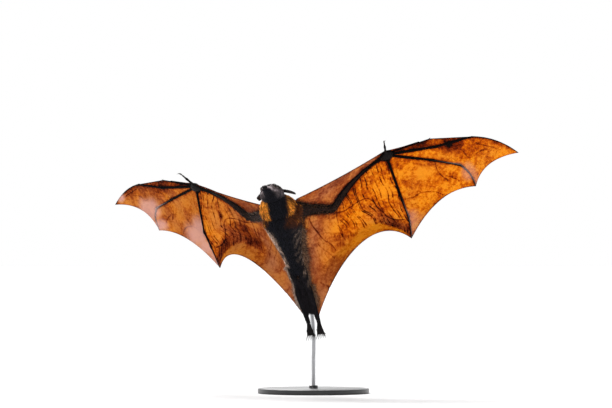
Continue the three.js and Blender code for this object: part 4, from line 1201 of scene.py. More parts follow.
# Each coat: the limbs it covers, the most locks it may grow, and its slot.
COATS = {
    "coat_head": {"limbs": ("head",), "locks": 12300, "slot": "head_fur"},
    "coat_mantle": {"limbs": ("neck",), "locks": 12300, "slot": "mantle_fur"},
    "coat_trunk": {"limbs": ("trunk",), "locks": 12300, "slot": "body_fur"},
    "coat_arms": {"limbs": ("upper_arm", "forearm"), "locks": 8500, "slot": "body_fur"},
    "coat_legs": {"limbs": ("thigh", "shank", "foot"), "locks": 8500, "slot": "body_fur"},
}
LOCK_RINGS = ((0.0, 0.85), (0.35, 1.0), (0.72, 0.62))   # (place along a lock, share of its width)
LOCK_SIDES = 3
LOCK_PATCH = 0.003                                      # a lock's width on its map
MAP_SHARE, MAP_MARGIN = 0.94, 0.03                      # the part of the map in use, and its margin
SINK = 0.5                                              # how deep a lock's root is in the skin
HAIR_SHARES = (1.5,) * 4                                # how roots spread over a face's corners


def lock_mesh(name, root, normal, lie, length, width, lift, curl):
    """Tapered three-sided locks, each from a sunk root to a point."""
    count = len(root)
    across = np.cross(normal, lie)
    column = lambda values: values[:, None]

    def on_lock(place):
        rise = column(length * (lift * place - 0.55 * lift * place**2) - SINK * (1 - place) ** 2)
        return root + lie * column(length * place) + normal * rise + across * column(curl * length * place**2)

    rings = []
    for place, share in LOCK_RINGS:
        middle = on_lock(place)
        for k in range(LOCK_SIDES):
            angle = math.pi / 2 + k * 2 * math.pi / LOCK_SIDES
            wide = across * column(width * share * math.cos(angle))
            high = normal * column(width * share * 0.45 * math.sin(angle))
            rings.append(middle + wide + high)
    rings.append(on_lock(1.0))
    points = np.stack(rings, axis=1)
    per = points.shape[1]
    faces = []
    for ring in range(len(LOCK_RINGS) - 1):
        for k in range(LOCK_SIDES):
            a, b = ring * LOCK_SIDES + k, ring * LOCK_SIDES + (k + 1) % LOCK_SIDES
            faces += [(a, b, b + LOCK_SIDES), (a, b + LOCK_SIDES, a + LOCK_SIDES)]
    last = (len(LOCK_RINGS) - 1) * LOCK_SIDES
    faces += [(last + k, last + (k + 1) % LOCK_SIDES, per - 1) for k in range(LOCK_SIDES)]
    faces.append(tuple(range(LOCK_SIDES))[::-1])
    faces = np.array(faces)
    triangles = (faces[None] + np.arange(count)[:, None, None] * per).reshape(-1, 3)
    places = np.array([p for p, _ in LOCK_RINGS for _ in range(LOCK_SIDES)] + [1.0])
    return mesh_object(name, points.reshape(-1, 3), triangles), np.tile(places, count), per


def bake_map(obj, centres, per, tips):
    """The OFBake map: each lock is a small patch at its root's place on the unwrapped skin."""
    ring_u = np.cos(math.pi / 2 + np.arange(LOCK_SIDES) * 2 * math.pi / LOCK_SIDES)
    u = np.concatenate([np.tile(ring_u, len(LOCK_RINGS)), [0]]) * LOCK_PATCH / 2
    spread = np.tile(u, len(centres))
    uv = np.repeat(centres, per, axis=0)
    uv = uv + np.stack([spread, (tips - 0.5) * LOCK_PATCH], axis=1)
    corners = np.empty(len(obj.data.loops), np.int32)
    obj.data.loops.foreach_get("vertex_index", corners)
    layer = obj.data.uv_layers.new(name="OFBake")
    layer.uv.foreach_set("vector", uv[corners].astype(np.float32).ravel())


def plant(obj, tips, per, tone, colour, centres):
    """Gives locks their colour, their own tone and their map."""
    mark(obj, "tip", tips)
    mark(obj, "tone", np.repeat(tone, per))
    mark(obj, "coat", np.repeat(colour, per, axis=0))
    bake_map(obj, centres, per, tips)


def grow_coat(hide, name, spec, rng, material):
    """One coat piece: locks rooted on the faces of its limbs, along the lie of the fur."""
    members = [k for k, limb in enumerate(hide.limbs) if limb.name.startswith(spec["limbs"])]
    mine = np.isin(hide.main, members)
    quads = np.vstack([f for f in hide.faces if f.shape[1] == 4])
    quads = quads[mine[quads[:, 0]] & (hide.fur[quads].min(axis=1) > 0.5)]
    corners = hide.points[quads]
    area = np.linalg.norm(np.cross(corners[:, 2] - corners[:, 0], corners[:, 3] - corners[:, 1]), axis=1) / 2
    crowd = area / np.maximum(hide.fur[quads].mean(axis=1), 1.2)
    chosen = rng.choice(len(quads), min(spec["locks"], len(quads)), replace=False, p=crowd / crowd.sum())
    quads = quads[np.sort(chosen)]
    share = rng.dirichlet(HAIR_SHARES, len(quads))
    take = lambda values: np.einsum("ij,ijk->ik", share, values[quads])
    root, normal = take(hide.points), unit(take(hide.normal))
    sway = rng.normal(0, 0.2, len(quads))
    lie = square(take(hide.lie) + np.cross(normal, take(hide.lie)) * sway[:, None], normal)
    length = np.einsum("ij,ij->i", share, hide.fur[quads]) * rng.uniform(0.75, 1.2, len(quads))
    width = np.clip(0.13 * length, 0.26, 0.95) * rng.uniform(0.8, 1.25, len(quads))
    lift = rng.uniform(0.34, 0.62, len(quads))
    curl = rng.normal(0, 0.1, len(quads))
    obj, tips, per = lock_mesh(name, root, normal, lie, length, width, lift, curl)
    lane = np.searchsorted(members, hide.main[quads[:, 0]])
    place = hide.place[quads[:, 0]] * MAP_SHARE + MAP_MARGIN
    centres = np.stack([(lane + place[:, 0]) / len(members), place[:, 1]], axis=1)
    plant(obj, tips, per, rng.uniform(0, 1, len(quads)), take(hide.colour), centres)
    return dress(obj, material, spec["slot"])


# ---------------------------------------------------------------- wings

# Vessels of the left wing, by their pixels: (half width in mm, the points they pass).
VESSELS = {
    "axilla": (1.0, ((309, 218), (312, 225), (318, 233), (324, 240), (330, 243), (336, 250))),
    "elbow": (0.9, ((335, 213), (345, 210.5), (350, 207), (360, 200.5), (367, 198.5), (373, 201), (378, 208),
                    (382, 211), (388, 217), (397, 220), (404, 219.5))),
    "elbow_down": (0.7, ((336, 213), (338, 222), (341, 233), (345, 240))),
    "flank": (0.6, ((318, 244), (323, 249), (329, 253), (334, 258))),
    "thigh": (0.5, ((321, 283), (327, 285), (332, 292))),
    "web45_top": (0.7, ((435, 162), (437, 170), (441, 175), (448, 180))),
    "web45_fork": (0.6, ((446, 176), (455, 178), (459, 181))),
    "web45_low": (0.7, ((405, 199), (410, 198), (415, 196.5), (420, 193), (430, 191.5), (438, 192.5),
                        (443, 195))),
    "web34": (0.6, ((476, 143), (483, 145), (490, 146.5), (500, 149.5))),
    "web34_fork": (0.5, ((462, 150), (470, 158), (478, 152), (486, 149))),
}
# The soft hair beside the body: locks, their colour, how far it reaches.
FRINGE = {
    "left": {"locks": 9000, "colour": (0.34, 0.20, 0.12), "reach": 12},
    # The right fringe's near-white colour is partly its own and partly a painted sheen of reflected light.
    "right": {"locks": 9000, "colour": (0.86, 0.66, 0.54), "reach": 13},
}
FLANK_STEPS = 24                      # places along the trunk that this hair spreads from
WING_VEIL = {"left": 0.0, "right": 0.5}      # how far the reflected light hides a wing's glow
# Where each wing lets more light or less light through: (pixel across, pixel down, reach in pixels).
THIN_PATCHES = {
    "left": ((366, 227, 14), (372, 211, 8), (386, 190, 7), (330, 226, 9), (424, 172, 9)),
    "right": ((216, 222, 11), (232, 262, 9)),
}
THICK_PATCHES = {
    "left": ((398, 224, 7), (342, 270, 8), (452, 142, 10)),
    "right": ((239, 238, 10), (252, 245, 9), (226, 240, 6)),
}
# How strongly each wing shows its painted sheens.
PAINTED_SHEEN_SHARE = {"left": 0.55, "right": 1.0}
# Painted sheens of each wing, paler patches that stand in for reflected light: (pixel across, pixel down,
# reach in pixels).
PAINTED_SHEEN_PATCHES = {
    "left": ((412, 216, 9), (470, 172, 9)),
    "right": ((199, 232, 15), (206, 248, 9), (150, 209, 13), (160, 226, 8), (121, 197, 5)),
}
BAND_SPAN = {"left": (0.55, 0.85), "right": (0.15, 0.6)}     # where the band begins and is full
# The muscled band's nearest and farthest distance from the trailing edge.
BAND_REACH = {"left": (42, 74), "right": (28, 66)}
ARM_SWELL = 8                         # the arm's radius where the membrane swells beside it
PLAGIO_COLUMNS = 150
WEB_COLUMNS = {"web34": 60, "web45": 78}
INDEX_COLUMNS = 15
PRO_ROWS = 18
INDEX_SHARE = 0.625                   # how far along digit 3 the index finger's tip is
THUMB_SHARE = 0.78                    # how far along the index finger the thumb's web runs


def columns_between(widths, count, near=True, far=True):
    """Places of columns from 0 to 1 for rows of these widths, with fine steps beside each bone."""
    fine = np.concatenate([[0], np.cumsum(FINE_STEPS)])
    scale = np.minimum(1, widths * 0.35 / fine[-1])[:, None] / np.maximum(widths, 1e-6)[:, None]
    start = fine[None] * scale if near else np.zeros((len(widths), 1))
    end = 1 - fine[::-1][None] * scale if far else np.ones((len(widths), 1))
    inner = count - start.shape[1] - end.shape[1] + 1
    t = np.linspace(0, 1, inner + 1)[1:-1]
    middle = start[:, -1:] + (end[:, :1] - start[:, -1:]) * t
    return np.concatenate([start, middle, end], axis=1)


def bone_progress():
    spans = [np.linspace(k, k + 1, rows, endpoint=False) for k, rows in enumerate(BONE_ROWS)]
    return np.concatenate([*spans, [3.0]])


def row_place(progress):
    """A row's place from the wrist at 0 to the trailing edge at 1."""
    return along(((0, 0), (1, 0.24), (2, 0.56), (3, 1)), progress)


def finger_web(wing, first, second, slack, name):
    """Points of the membrane between two fingers, whose free edge sags towards the hand."""
    progress = bone_progress()
    a, b = wing.fingers[first].at(progress), wing.fingers[second].at(progress)
    width = np.linalg.norm(b - a, axis=1)
    t = columns_between(width, WEB_COLUMNS[name])[..., None]
    crown = 4 * t * (1 - t)
    middle = (a[-1] + b[-1]) / 2
    pull = (wing.fingers[first].joints[2] - middle) * slack[0]
    pull = pull + (wing.fingers[second].joints[2] - middle) * slack[1]
    reach = (row_place(progress) ** 3)[:, None, None]
    spread = (width / width[-1])[:, None, None]
    return (lerp(a[:, None], b[:, None], t) + pull * 0.5 * crown * reach
            + wing.back * BILLOW[name] * crown * spread)


def index_web(wing):
    """The membrane from digit 3 forward to the index finger, and on to digit 3's last joint."""
    progress = bone_progress()
    progress = progress[progress <= 2]
    third, index = wing.fingers["digit3"], wing.fingers["index"]
    lengths = third.lengths[:2]
    run = np.where(progress < 1, progress * lengths[0], lengths[0] + (progress - 1) * lengths[1])
    run = run / lengths.sum()
    a = third.at(progress)
    b = index.at(np.minimum(run / INDEX_SHARE, 1))
    b = lerp(b, third.joints[2], np.clip((run - INDEX_SHARE) / (1 - INDEX_SHARE), 0, 1)[:, None])
    t = columns_between(np.linalg.norm(b - a, axis=1), INDEX_COLUMNS)[..., None]
    return lerp(a[:, None], b[:, None], t), run / INDEX_SHARE


def thumb_web(wing, index_points, share):
    """The small membrane ahead of the index finger, out to the thumb's root."""
    rows = share <= THUMB_SHARE
    onto = np.clip(share[rows] / THUMB_SHARE, 0, 1)[:, None]
    edge = lerp(wing.thumb.at(0.3), index_points[rows], onto)
    t = np.linspace(0, 1, 7)[None, :, None]
    return lerp(index_points[rows][:, None], edge[:, None], t)


def arm_webs(wing):
    """The membranes behind and ahead of the arm, as grids of points."""
    progress = bone_progress()
    v = row_place(progress)
    outer = wing.fingers["digit5"].at(progress)
    flank = [TRUNK_PATH.at(lerp(0.85, 0.2, t)) + BACK * 5 + LEFT * wing.side * 14 for t in (0.2, 0.6, 1)]
    inner_path = Path(np.vstack([through([wing.shoulder, *flank]), wing.knee, wing.shank_end]))
    inner = inner_path.at(v)
    ankle, tip = inner[-1], outer[-1]
    handle = lambda start, elbow, wrist: start + (wing.elbow - start) * elbow + (wing.wrist - start) * wrist
    trail = (
        ankle,
        handle(ankle, EDGE_PULL["ankle_elbow"], EDGE_PULL["ankle_wrist"]),
        handle(tip, EDGE_PULL["tip_elbow"], EDGE_PULL["tip_wrist"]),
        tip,
    )
    widths = np.linalg.norm(outer - inner, axis=1)
    u = columns_between(np.maximum(widths, 150), PLAGIO_COLUMNS, near=False)
    arm = np.stack([wing.on_arm(row) for row in u])
    free = np.stack([bezier(trail, row) for row in u])
    u3, v3 = u[..., None], v[:, None, None]
    points = (inner[:, None] * (1 - u3) + outer[:, None] * u3 + arm * (1 - v3) + free * v3
              - inner[0] * (1 - u3) * (1 - v3) - outer[0] * u3 * (1 - v3)
              - ankle * (1 - u3) * v3 - tip * u3 * v3)
    points = points + wing.back * BILLOW["plagio"] * 16 * u3 * (1 - u3) * v3 * (1 - v3)
    neck_end = wing.shoulder + SPINE_WAY * wing.pose["neck_edge"]["up"]
    neck_end = neck_end + LEFT * wing.pose["neck_edge"]["out"] * wing.side
    thumb_end = wing.wrist + wing.thumb_way * 13
    chord = np.linalg.norm(thumb_end - neck_end)
    lead_edge = (neck_end, (neck_end + thumb_end) / 2 - wing.lead * 0.03 * chord, thumb_end)
    t = np.linspace(0, 1, PRO_ROWS)[:, None, None]
    ahead = lerp(arm[0][None], bezier(lead_edge, u[0])[None], t) + wing.back * BILLOW["pro"] * 4 * t * (1 - t)
    return points, ahead, u, v


class Membranes:
    """All of a wing's membranes, welded along the bones into one middle surface."""

    def __init__(self, wing):
        self.wing = wing
        plagio, pro, u, v = arm_webs(wing)
        index, share = index_web(wing)
        pose = wing.pose
        grids = {
            "plagio": plagio,
            "pro": pro,
            "web45": finger_web(wing, "digit4", "digit5", pose["slack45"], "web45"),
            "web34": finger_web(wing, "digit3", "digit4", pose["slack34"], "web34"),
            "index": index,
            "thumb": thumb_web(wing, index[:, -1], share),
        }
        self.trails = {name: grids[name][-1] for name in ("plagio", "web45", "web34")}
        self.leads = {"pro": pro[-1], "index": index[:, -1]}
        points, quads, panels, coordinates = [], [], [], []
        start = 0
        for name, grid in grids.items():
            rows, columns = grid.shape[:2]
            points.append(grid.reshape(-1, 3))
            faces = grid_faces(rows, columns) + start
            row, column = rows // 2, columns // 2
            centre = grid[row, column]
            normal = np.cross(grid[row + 1, column] - centre, grid[row, column + 1] - centre)
            quads.append(faces if normal @ wing.back > 0 else faces[:, ::-1])
            panels.append(np.full(rows * columns, list(grids).index(name)))
            i, j = np.meshgrid(np.linspace(0, 1, rows), np.linspace(0, 1, columns), indexing="ij")
            if name == "plagio":
                i, j = np.broadcast_to(v[:, None], u.shape), u
            coordinates.append(np.stack([i.ravel(), j.ravel()], axis=1))
            start += rows * columns
        self.weld(np.vstack(points), np.vstack(quads), np.concatenate(panels), np.vstack(coordinates))
        self.panel_names = list(grids)
        self.on_lead = (self.panel == self.panel_names.index("pro")).astype(float)

    def weld(self, points, quads, panels, coordinates):
        keys = np.round(points / 0.01).astype(np.int64)
        _, first, inverse = np.unique(keys, axis=0, return_index=True, return_inverse=True)
        order = np.argsort(first)
        rank = np.empty(len(order), int)
        rank[order] = np.arange(len(order))
        self.middle = points[first[order]]
        self.panel = panels[first[order]]
        self.place = coordinates[first[order]]
        quads = rank[inverse.ravel()][quads]
        same = [quads[:, k] == quads[:, (k + 1) % 4] for k in range(4)]
        whole = ~np.any(same, axis=0)
        halves = []
        for k in range(4):
            only = same[k] & ~np.any([same[(k + n) % 4] for n in (1, 2, 3)], axis=0)
            halves.append(np.delete(quads[only], k, axis=1))
        self.quads, self.triangles = quads[whole], np.vstack(halves)

    def pixels(self):
        """Where the camera sees each point."""
        depth = self.middle[:, 1] - CAMERA["y"]
        scale = 1e4 / PIXEL / depth
        u = IMAGE[0] / 2 + (self.middle[:, 0] - CAMERA["x"]) * scale
        v = IMAGE[1] / 2 - (self.middle[:, 2] - CAMERA["z"]) * scale
        return np.stack([u, v], axis=1)

    def patches(self, spots, wobble):
        """How much each point belongs to one of this wing's soft patches."""
        seen, share = self.pixels(), np.zeros(len(self.middle))
        for u, v, reach in spots[self.wing.name]:
            away = np.hypot(*(seen - (u, v)).T) / reach
            share = np.maximum(share, ease(1.3, 0.35, away + 0.35 * wobble))
        return share


def vessel_lines(membranes):
    """Each vessel as a run of the left wing's points, the same ones in both wings."""
    seen = membranes.pixels()
    lines = {}
    for name, (_, passed) in VESSELS.items():
        flat = through([(u, v, 0) for u, v in passed], 12)[:, :2]
        path = Path(np.column_stack([flat, np.zeros(len(flat))]))
        steps = path.at(np.linspace(0, 1, int(path.length / 1.1) + 2))[:, :2]
        nearest = [int(np.argmin(((seen - p) ** 2).sum(axis=1))) for p in steps]
        lines[name] = [a for a, b in zip(nearest, [-1] + nearest) if a != b]
    return lines


def smoothed_line(points, rounds=3):
    for _ in range(rounds):
        points = np.vstack([points[:1], (points[:-2] + 2 * points[1:-1] + points[2:]) / 4, points[-1:]])
    return points


def wing_thickness(near_bone, radius, arm_gap, vein, edge):
    """Half the wing's thickness: a thin sheet that swells over bones, vessels, arm and free edge."""
    q = near_bone / radius
    swell = radius * np.sqrt(np.maximum(1 - q**2, 0))
    swell = swell + 0.3 * radius * np.exp(-np.maximum(q - 0.9, 0) ** 2 / 0.3)
    arm = 0.28 * ARM_SWELL * np.exp(-np.maximum(arm_gap, 0) / 2.5)
    half = (MEMBRANE**4 + swell**4 + arm**4) ** 0.25 + 0.28 * vein
    return half + 0.3 * np.exp(-((edge / 0.9) ** 2))


def bone_distance(wing, points):
    """Each point's distance from the nearest finger bone, and that bone's radius there."""
    gaps, radii = [], []
    for finger in wing.fingers.values():
        line = np.vstack([bone.points for bone in finger.bones])
        gaps.append(distance_to(points, line))
        radii.append(finger.radius(points))
    nearest = np.argmin(np.stack(gaps) - np.stack(radii), axis=0)
    rows = np.arange(len(points))
    return np.stack(gaps)[nearest, rows], np.stack(radii)[nearest, rows]


def limb_gap(limb, points):
    """How far points are outside a limb, below zero inside it."""
    _, share, _, _, radius = limb.measure(points)
    return (share - 1) * radius


def arm_distance(wing, points):
    arm = ((wing.upper_arm, UPPER_ARM_GIRTH), (wing.forearm, FOREARM_GIRTH))
    return np.minimum(*[
        limb_gap(Limb("arm", path, even(girth), wing.lead, 0, 1, NO_FUR), points) for path, girth in arm
    ])


def body_distance(wing, points):
    """How far points are from the trunk or from the leg, whose hair is shorter."""
    gap = np.maximum(limb_gap(trunk_limb(0, 1, NO_FUR), points), 0)
    leg = np.vstack([wing.hip, wing.knee, wing.ankle])
    return np.minimum(gap, np.maximum(distance_to(points, leg) - 6, 0) * 1.6)


def vessel_marks(points, lines):
    vein = np.zeros(len(points))
    for name, line in lines.items():
        half = VESSELS[name][0]
        near = np.exp(-((distance_to(points, points[line]) / half) ** 2))
        vein = np.maximum(vein, near * min(1, half + 0.15))
    return vein


def band_marks(wing, column, to_trail, wobble):
    """The muscled band beside the trailing edge, and the strips that lead to it."""
    taper = ease(1.0, 0.6, column)
    near, far = BAND_REACH[wing.name]
    low, high = near * taper + 3, far * lerp(0.35, 1, taper)
    band = ease(low - 3, low + 4, to_trail + wobble * 2)
    band = band * ease(high + 12, high - 8, to_trail + wobble * 8) * ease(*BAND_SPAN[wing.name], column)
    return band, ease(low - 5, low + 1, to_trail) * lerp(0.15, 1, ease(0.3, 0.55, column))


def flesh_marks(membranes, gaps, panel, wobble):
    """Where the membrane is thick or thin apart from its bones, vessels and band."""
    body_gap, arm_gap, bone_gap, bone_radius = gaps
    row, column = membranes.place.T
    flesh = 0.5 * np.exp(-body_gap / 6) + 0.7 * np.exp(-np.maximum(arm_gap, 0) / 5)
    flesh = flesh + 0.06 * (panel == "plagio") * ease(110, 20, body_gap)
    flesh = flesh + 0.2 * (panel == "pro") + 0.42 * ((panel == "index") | (panel == "thumb"))
    flesh = flesh + 0.4 * np.exp(-np.maximum(bone_gap - bone_radius, 0) / 3)
    near3 = (panel == "web34") * ease(0.7, 0.1, column) * ease(0.25, 0.5, row) * ease(0.95, 0.6, row)
    flesh = np.clip(flesh + 0.55 * near3 * (0.8 + 0.5 * wobble), 0, 1)
    flesh = flesh - 0.3 * membranes.patches(THIN_PATCHES, wobble)
    return flesh + 0.16 * membranes.patches(THICK_PATCHES, wobble)


def veil_marks(membranes, gaps, panel, band, wobble):
    """Where reflected light hides the glow: beside the body, on the band, over the right wing."""
    body_gap, _, bone_gap, _ = gaps
    on_plagio, column, most = panel == "plagio", membranes.place[:, 1], WING_VEIL[membranes.wing.name]
    veil = np.maximum(0.75 * on_plagio * ease(140, 20, body_gap), 0.8 * (panel == "pro"))
    veil = np.maximum(veil, 0.5 * band)
    veil = np.maximum(veil, most * (1 - 0.8 * np.exp(-np.abs(bone_gap) / 25) * on_plagio))
    veil = np.maximum(veil, 1.6 * most * on_plagio * ease(0.55, 0.3, column))
    return np.clip(veil + 0.2 * wobble, 0, 1)


def painted_sheen_marks(membranes, panel, wobble):
    """Painted sheens of reflected light: wedges beside the outer bones, and the wing's own patches."""
    row, column = membranes.place.T
    wedge = ease(0.42, 0.95, row) * 0.3 + 0.04
    pale = ((panel == "web45") | (panel == "web34")) * ease(1 - wedge, 1 - wedge * 0.3, column)
    pale = pale * ease(0.3, 0.6, row) * np.clip(0.85 + 0.4 * wobble, 0, 1)
    patches = membranes.patches(PAINTED_SHEEN_PATCHES, wobble) * ~((panel == "plagio") | (panel == "pro"))
    return np.maximum(pale, patches) * PAINTED_SHEEN_SHARE[membranes.wing.name]


def hair_marks(wing, points, gaps, panel, column, edge):
    """How hairy the membrane is beside the body and along the upper arm."""
    body_gap, arm_gap, _, _ = gaps
    beside_arm = 0.4 * np.exp(-np.maximum(arm_gap, 0) / 5) * ease(0.6, 0.35, column)
    hairy = np.exp(-((body_gap / FRINGE[wing.name]["reach"]) ** 1.5)) + beside_arm
    hairy = hairy * ((panel == "plagio") | (panel == "pro")) * ease(1, 4, edge)
    return hairy * ease(15, 50, np.linalg.norm(points - wing.ankle, axis=1))


def wing_marks(membranes, lines):
    """What each point of a wing shows, how thick it is there and how hairy."""
    wing, points, trails = membranes.wing, membranes.middle, membranes.trails
    panel = np.array(membranes.panel_names)[membranes.panel]
    column = membranes.place[:, 1]
    bone_gap, bone_radius = bone_distance(wing, points)
    arm_gap, body_gap = arm_distance(wing, points), body_distance(wing, points)
    gaps = (body_gap, arm_gap, bone_gap, bone_radius)
    vein = vessel_marks(points, lines)
    to_trail = distance_to(points, trails["plagio"])
    free_edges = [trails["web45"], trails["web34"], *membranes.leads.values()]
    edge = np.minimum.reduce([to_trail, *[distance_to(points, line) for line in free_edges]])
    wobble = noise(points, 22, 5)
    band, strip = np.stack(band_marks(wing, column, to_trail, wobble)) * (panel == "plagio")
    bone = ease(1.25, 0.7, bone_gap / (bone_radius + 0.45))
    wrist = ease(16, 9, np.linalg.norm(points - wing.wrist, axis=1))
    marks = {
        "bone": np.maximum.reduce([bone, wrist, ease(2.2, 0.4, arm_gap)]),
        "flesh": flesh_marks(membranes, gaps, panel, wobble),
        "vein": vein,
        "band": band,
        "strip": strip,
        "pale": painted_sheen_marks(membranes, panel, wobble),
        "veil": veil_marks(membranes, gaps, panel, band, wobble),
        "edge": edge,
        "run": column * 250,
    }
    half = wing_thickness(bone_gap, bone_radius, arm_gap, vein, edge)
    return marks, half, hair_marks(wing, points, gaps, panel, column, edge)


def build_wing(name, membranes, lines, material):
    """One wing: bones, membranes and free edges in one closed skin."""
    wing = membranes.wing
    for line in lines.values():
        membranes.middle[line] = smoothed_line(membranes.middle[line])
    marks, half, hairy = wing_marks(membranes, lines)
    slack = ease(3, 30, marks["edge"]) * (1 - marks["bone"])
    ripple = noise(membranes.middle, 26, 8) * 0.9 + noise(membranes.middle, 9, 9) * 0.28
    middle = membranes.middle + wing.back * (ripple * slack)[:, None]
    points, faces, normal = closed_sheet(middle, half, membranes.quads, membranes.triangles)
    obj = mesh_object(f"wing_{name}", points, *faces)
    for key, values in marks.items():
        mark(obj, key, np.tile(values, 2))
    nodes = ("index", "digit3", "digit4", "digit5", "web12", "web23", "web34", "web45", "propatagium",
             "plagiopatagium")
    dress(obj, material, "membrane", *[f"{node}_{name}" for node in nodes])
    return middle, normal, half, hairy


def grow_fringe(name, membranes, middle, normal, half, hairy, rng, material):
    """Soft hair that spreads from the flank, the leg and the arm over both faces of the membrane."""
    wing, quads = membranes.wing, membranes.quads
    spec = FRINGE[wing.name]
    area = np.linalg.norm(np.cross(middle[quads[:, 2]] - middle[quads[:, 0]],
                                   middle[quads[:, 3]] - middle[quads[:, 1]]), axis=1)
    chance = area * hairy[quads].mean(axis=1)
    picked = quads[rng.choice(len(quads), spec["locks"], p=chance / chance.sum())]
    share = rng.dirichlet(HAIR_SHARES, len(picked))
    take = lambda values: np.einsum("ij,ijk->ik", share, values[picked])
    face = np.where(rng.uniform(size=len(picked)) < 0.6, -1.0, 1.0)[:, None]
    outward = unit(take(normal)) * face
    root = take(middle) + outward * (half[picked].mean(axis=1) - 0.1)[:, None]
    flank = TRUNK_PATH.at(np.linspace(0, 1, FLANK_STEPS))
    axis = np.vstack([flank, wing.upper_arm.at(np.linspace(0.1, 1, 12))])
    nearest = np.argmin(((root[:, None] - axis[None]) ** 2).sum(axis=2), axis=1)
    away = unit(root - axis[nearest]) - SPINE_WAY * 0.9
    away = away + rng.normal(0, 0.25, away.shape)
    lie = square(away, outward)
    strength = hairy[picked].mean(axis=1)
    length = lerp(3, 10, np.clip(strength, 0, 1)) * rng.uniform(0.7, 1.2, len(picked))
    width = np.clip(0.075 * length, 0.18, 0.5)
    lift = rng.uniform(0.15, 0.45, len(picked))
    curl = rng.normal(0, 0.15, len(picked))
    obj, tips, per = lock_mesh(name, root, outward, lie, length, width, lift, curl)
    tone = rng.uniform(0, 1, len(picked))
    dark = np.maximum(rng.uniform(0, 1, len(picked)) ** 2, 0.85 * (nearest >= FLANK_STEPS))
    colour = mixed(np.array(spec["colour"]), BROWN, dark)
    row, column = take(membranes.place).T
    onto = np.stack([column / 2 + 0.5 * membranes.on_lead[picked[:, 0]], row], axis=1)
    plant(obj, tips, per, tone, colour, onto * MAP_SHARE + MAP_MARGIN)
    return dress(obj, material, "body_fur")


# ---------------------------------------------------------------- ears, eyes, nose and claws


def build_ear(name, side, material):
    """A pointed leaf folded into a trough, with a thicker rim and fine ribs across it."""
    way = head_way(EAR_SWEEP, side)
    root = in_head(EAR_ROOT, side)
    opening = square(np.array([EAR_OPENING[0] * side, *EAR_OPENING[1:]], float) @ HEAD_AXES, way)
    across = np.cross(opening, way)
    rows, columns = 44, 25
    t, c = np.meshgrid(np.linspace(0, 0.995, rows), np.linspace(-0.5, 0.5, columns), indexing="ij")
    t, c = t.ravel(), c.ravel()
    fold = c * lerp(3.6, 1.7, t)
    half = (EAR_WIDTH / 2) * (0.72 + 0.9 * t) * (1 - t**2.2) + 0.7
    wide = half * np.sin(fold) / np.sin(np.minimum(1.57, lerp(1.8, 0.85, t)))
    deep = 3 * t * t - half * lerp(0.6, 0.25, t) * np.cos(fold)
    deep = deep + 0.16 * np.sin(t * 60) * np.cos(c * math.pi) * ease(0.25, 0.5, t) * ease(1, 0.8, t)
    middle = root + way * (EAR_LENGTH * t)[:, None] + across * wide[:, None] + opening * deep[:, None]
    thickness = 0.42 + 0.2 * ease(0.4, 0.5, np.abs(c)) + 0.3 * ease(0.3, 0, t)
    points, faces, _ = closed_sheet(middle, thickness, grid_faces(rows, columns))
    obj = mesh_object(f"ear_leaf_{name}", points, *faces)
    mark(obj, "grain", np.tile(np.stack([c * 0.016, t * 0.037, np.zeros(len(t))], axis=1), (2, 1)))
    return dress(obj, material, "dark_skin", f"ear_{name}")


def build_eye(name, side, material):
    """An eyeball with a raised cornea over iris and pupil."""
    rings, sides = 40, 48
    angle = np.linspace(0, math.pi, rings)[1:-1]
    turn = np.arange(sides) * 2 * math.pi / sides
    gaze = head_way(GAZE, side)
    lid_up = square(HEAD_UP, gaze)
    lid_side = np.cross(lid_up, gaze)
    bulge = EYE_RADIUS * 0.96 * (1 + 0.055 * np.exp(-((np.degrees(angle) / 30) ** 2)))
    ring = (np.cos(turn)[None, :, None] * lid_side + np.sin(turn)[None, :, None] * lid_up)
    points = (bulge * np.cos(angle))[:, None, None] * gaze + (bulge * np.sin(angle))[:, None, None] * ring
    poles = np.array([gaze * bulge[0], -gaze * bulge[-1]])
    points = np.vstack([points.reshape(-1, 3), poles]) + in_head(EYE_PLACE, side)
    j = np.arange(sides)
    following = (j + 1) % sides
    last = (len(angle) - 1) * sides
    front = np.stack([j, following, np.full(sides, len(points) - 2)], axis=1)[:, ::-1]
    behind = np.stack([last + j, last + following, np.full(sides, len(points) - 1)], axis=1)
    obj = mesh_object(f"eyeball_{name}", points, grid_faces(len(angle), sides, loop=True), front, behind)
    degrees = np.concatenate([np.repeat(np.degrees(angle), sides), [0, 180]])
    around = np.concatenate([np.tile(turn, len(angle)), [0, 0]])
    mark(obj, "gaze", degrees)
    grain = np.stack([np.cos(around), degrees / 30, np.sin(around)], axis=1)
    mark(obj, "grain", grain)
    return dress(obj, material, "eye", f"eye_{name}")


def build_nose(material):
    """The nose pad: two nostrils turned outwards, with a furrow between them."""
    parts = []
    for side in (1, -1):
        start = in_head((0.6, 0.6, MUZZLE - 5), side)
        end = in_head((2.7, 0.9, MUZZLE - 0.6), side)
        parts.append(tube(Path([start, end]), even(((0, 4.2), (1, 3.0))), HEAD_LEFT, 12, 20, cap=0.75))
    points, quads = fused("nose_pad", parts, 0.34)
    edges = edges_of([quads])
    points = relaxed(points, edges, 0.5, 5)
    left, _, forward = head_places(points).T
    inward = np.zeros(len(points))
    for side in (1, -1):
        nostril = in_head((3.5, 0.6, MUZZLE + 1.4), side)
        inward += np.exp(-((np.linalg.norm(points - nostril, axis=1) / 1.5) ** 2))
    furrow = np.exp(-((left / 0.6) ** 2)) * ease(MUZZLE - 3, MUZZLE, forward)
    points = points - HEAD_FORWARD * (inward * 2.3 + furrow * 0.6)[:, None]
    points = relaxed(points, edges, 0.4, 1)
    return dress(mesh_object("nose_pad", points, quads), material, "nose_skin", "nose")


CLAW_RINGS, CLAW_SIDES = 16, 12
CLAW_POINT = 0.16                     # the radius of a claw's tip


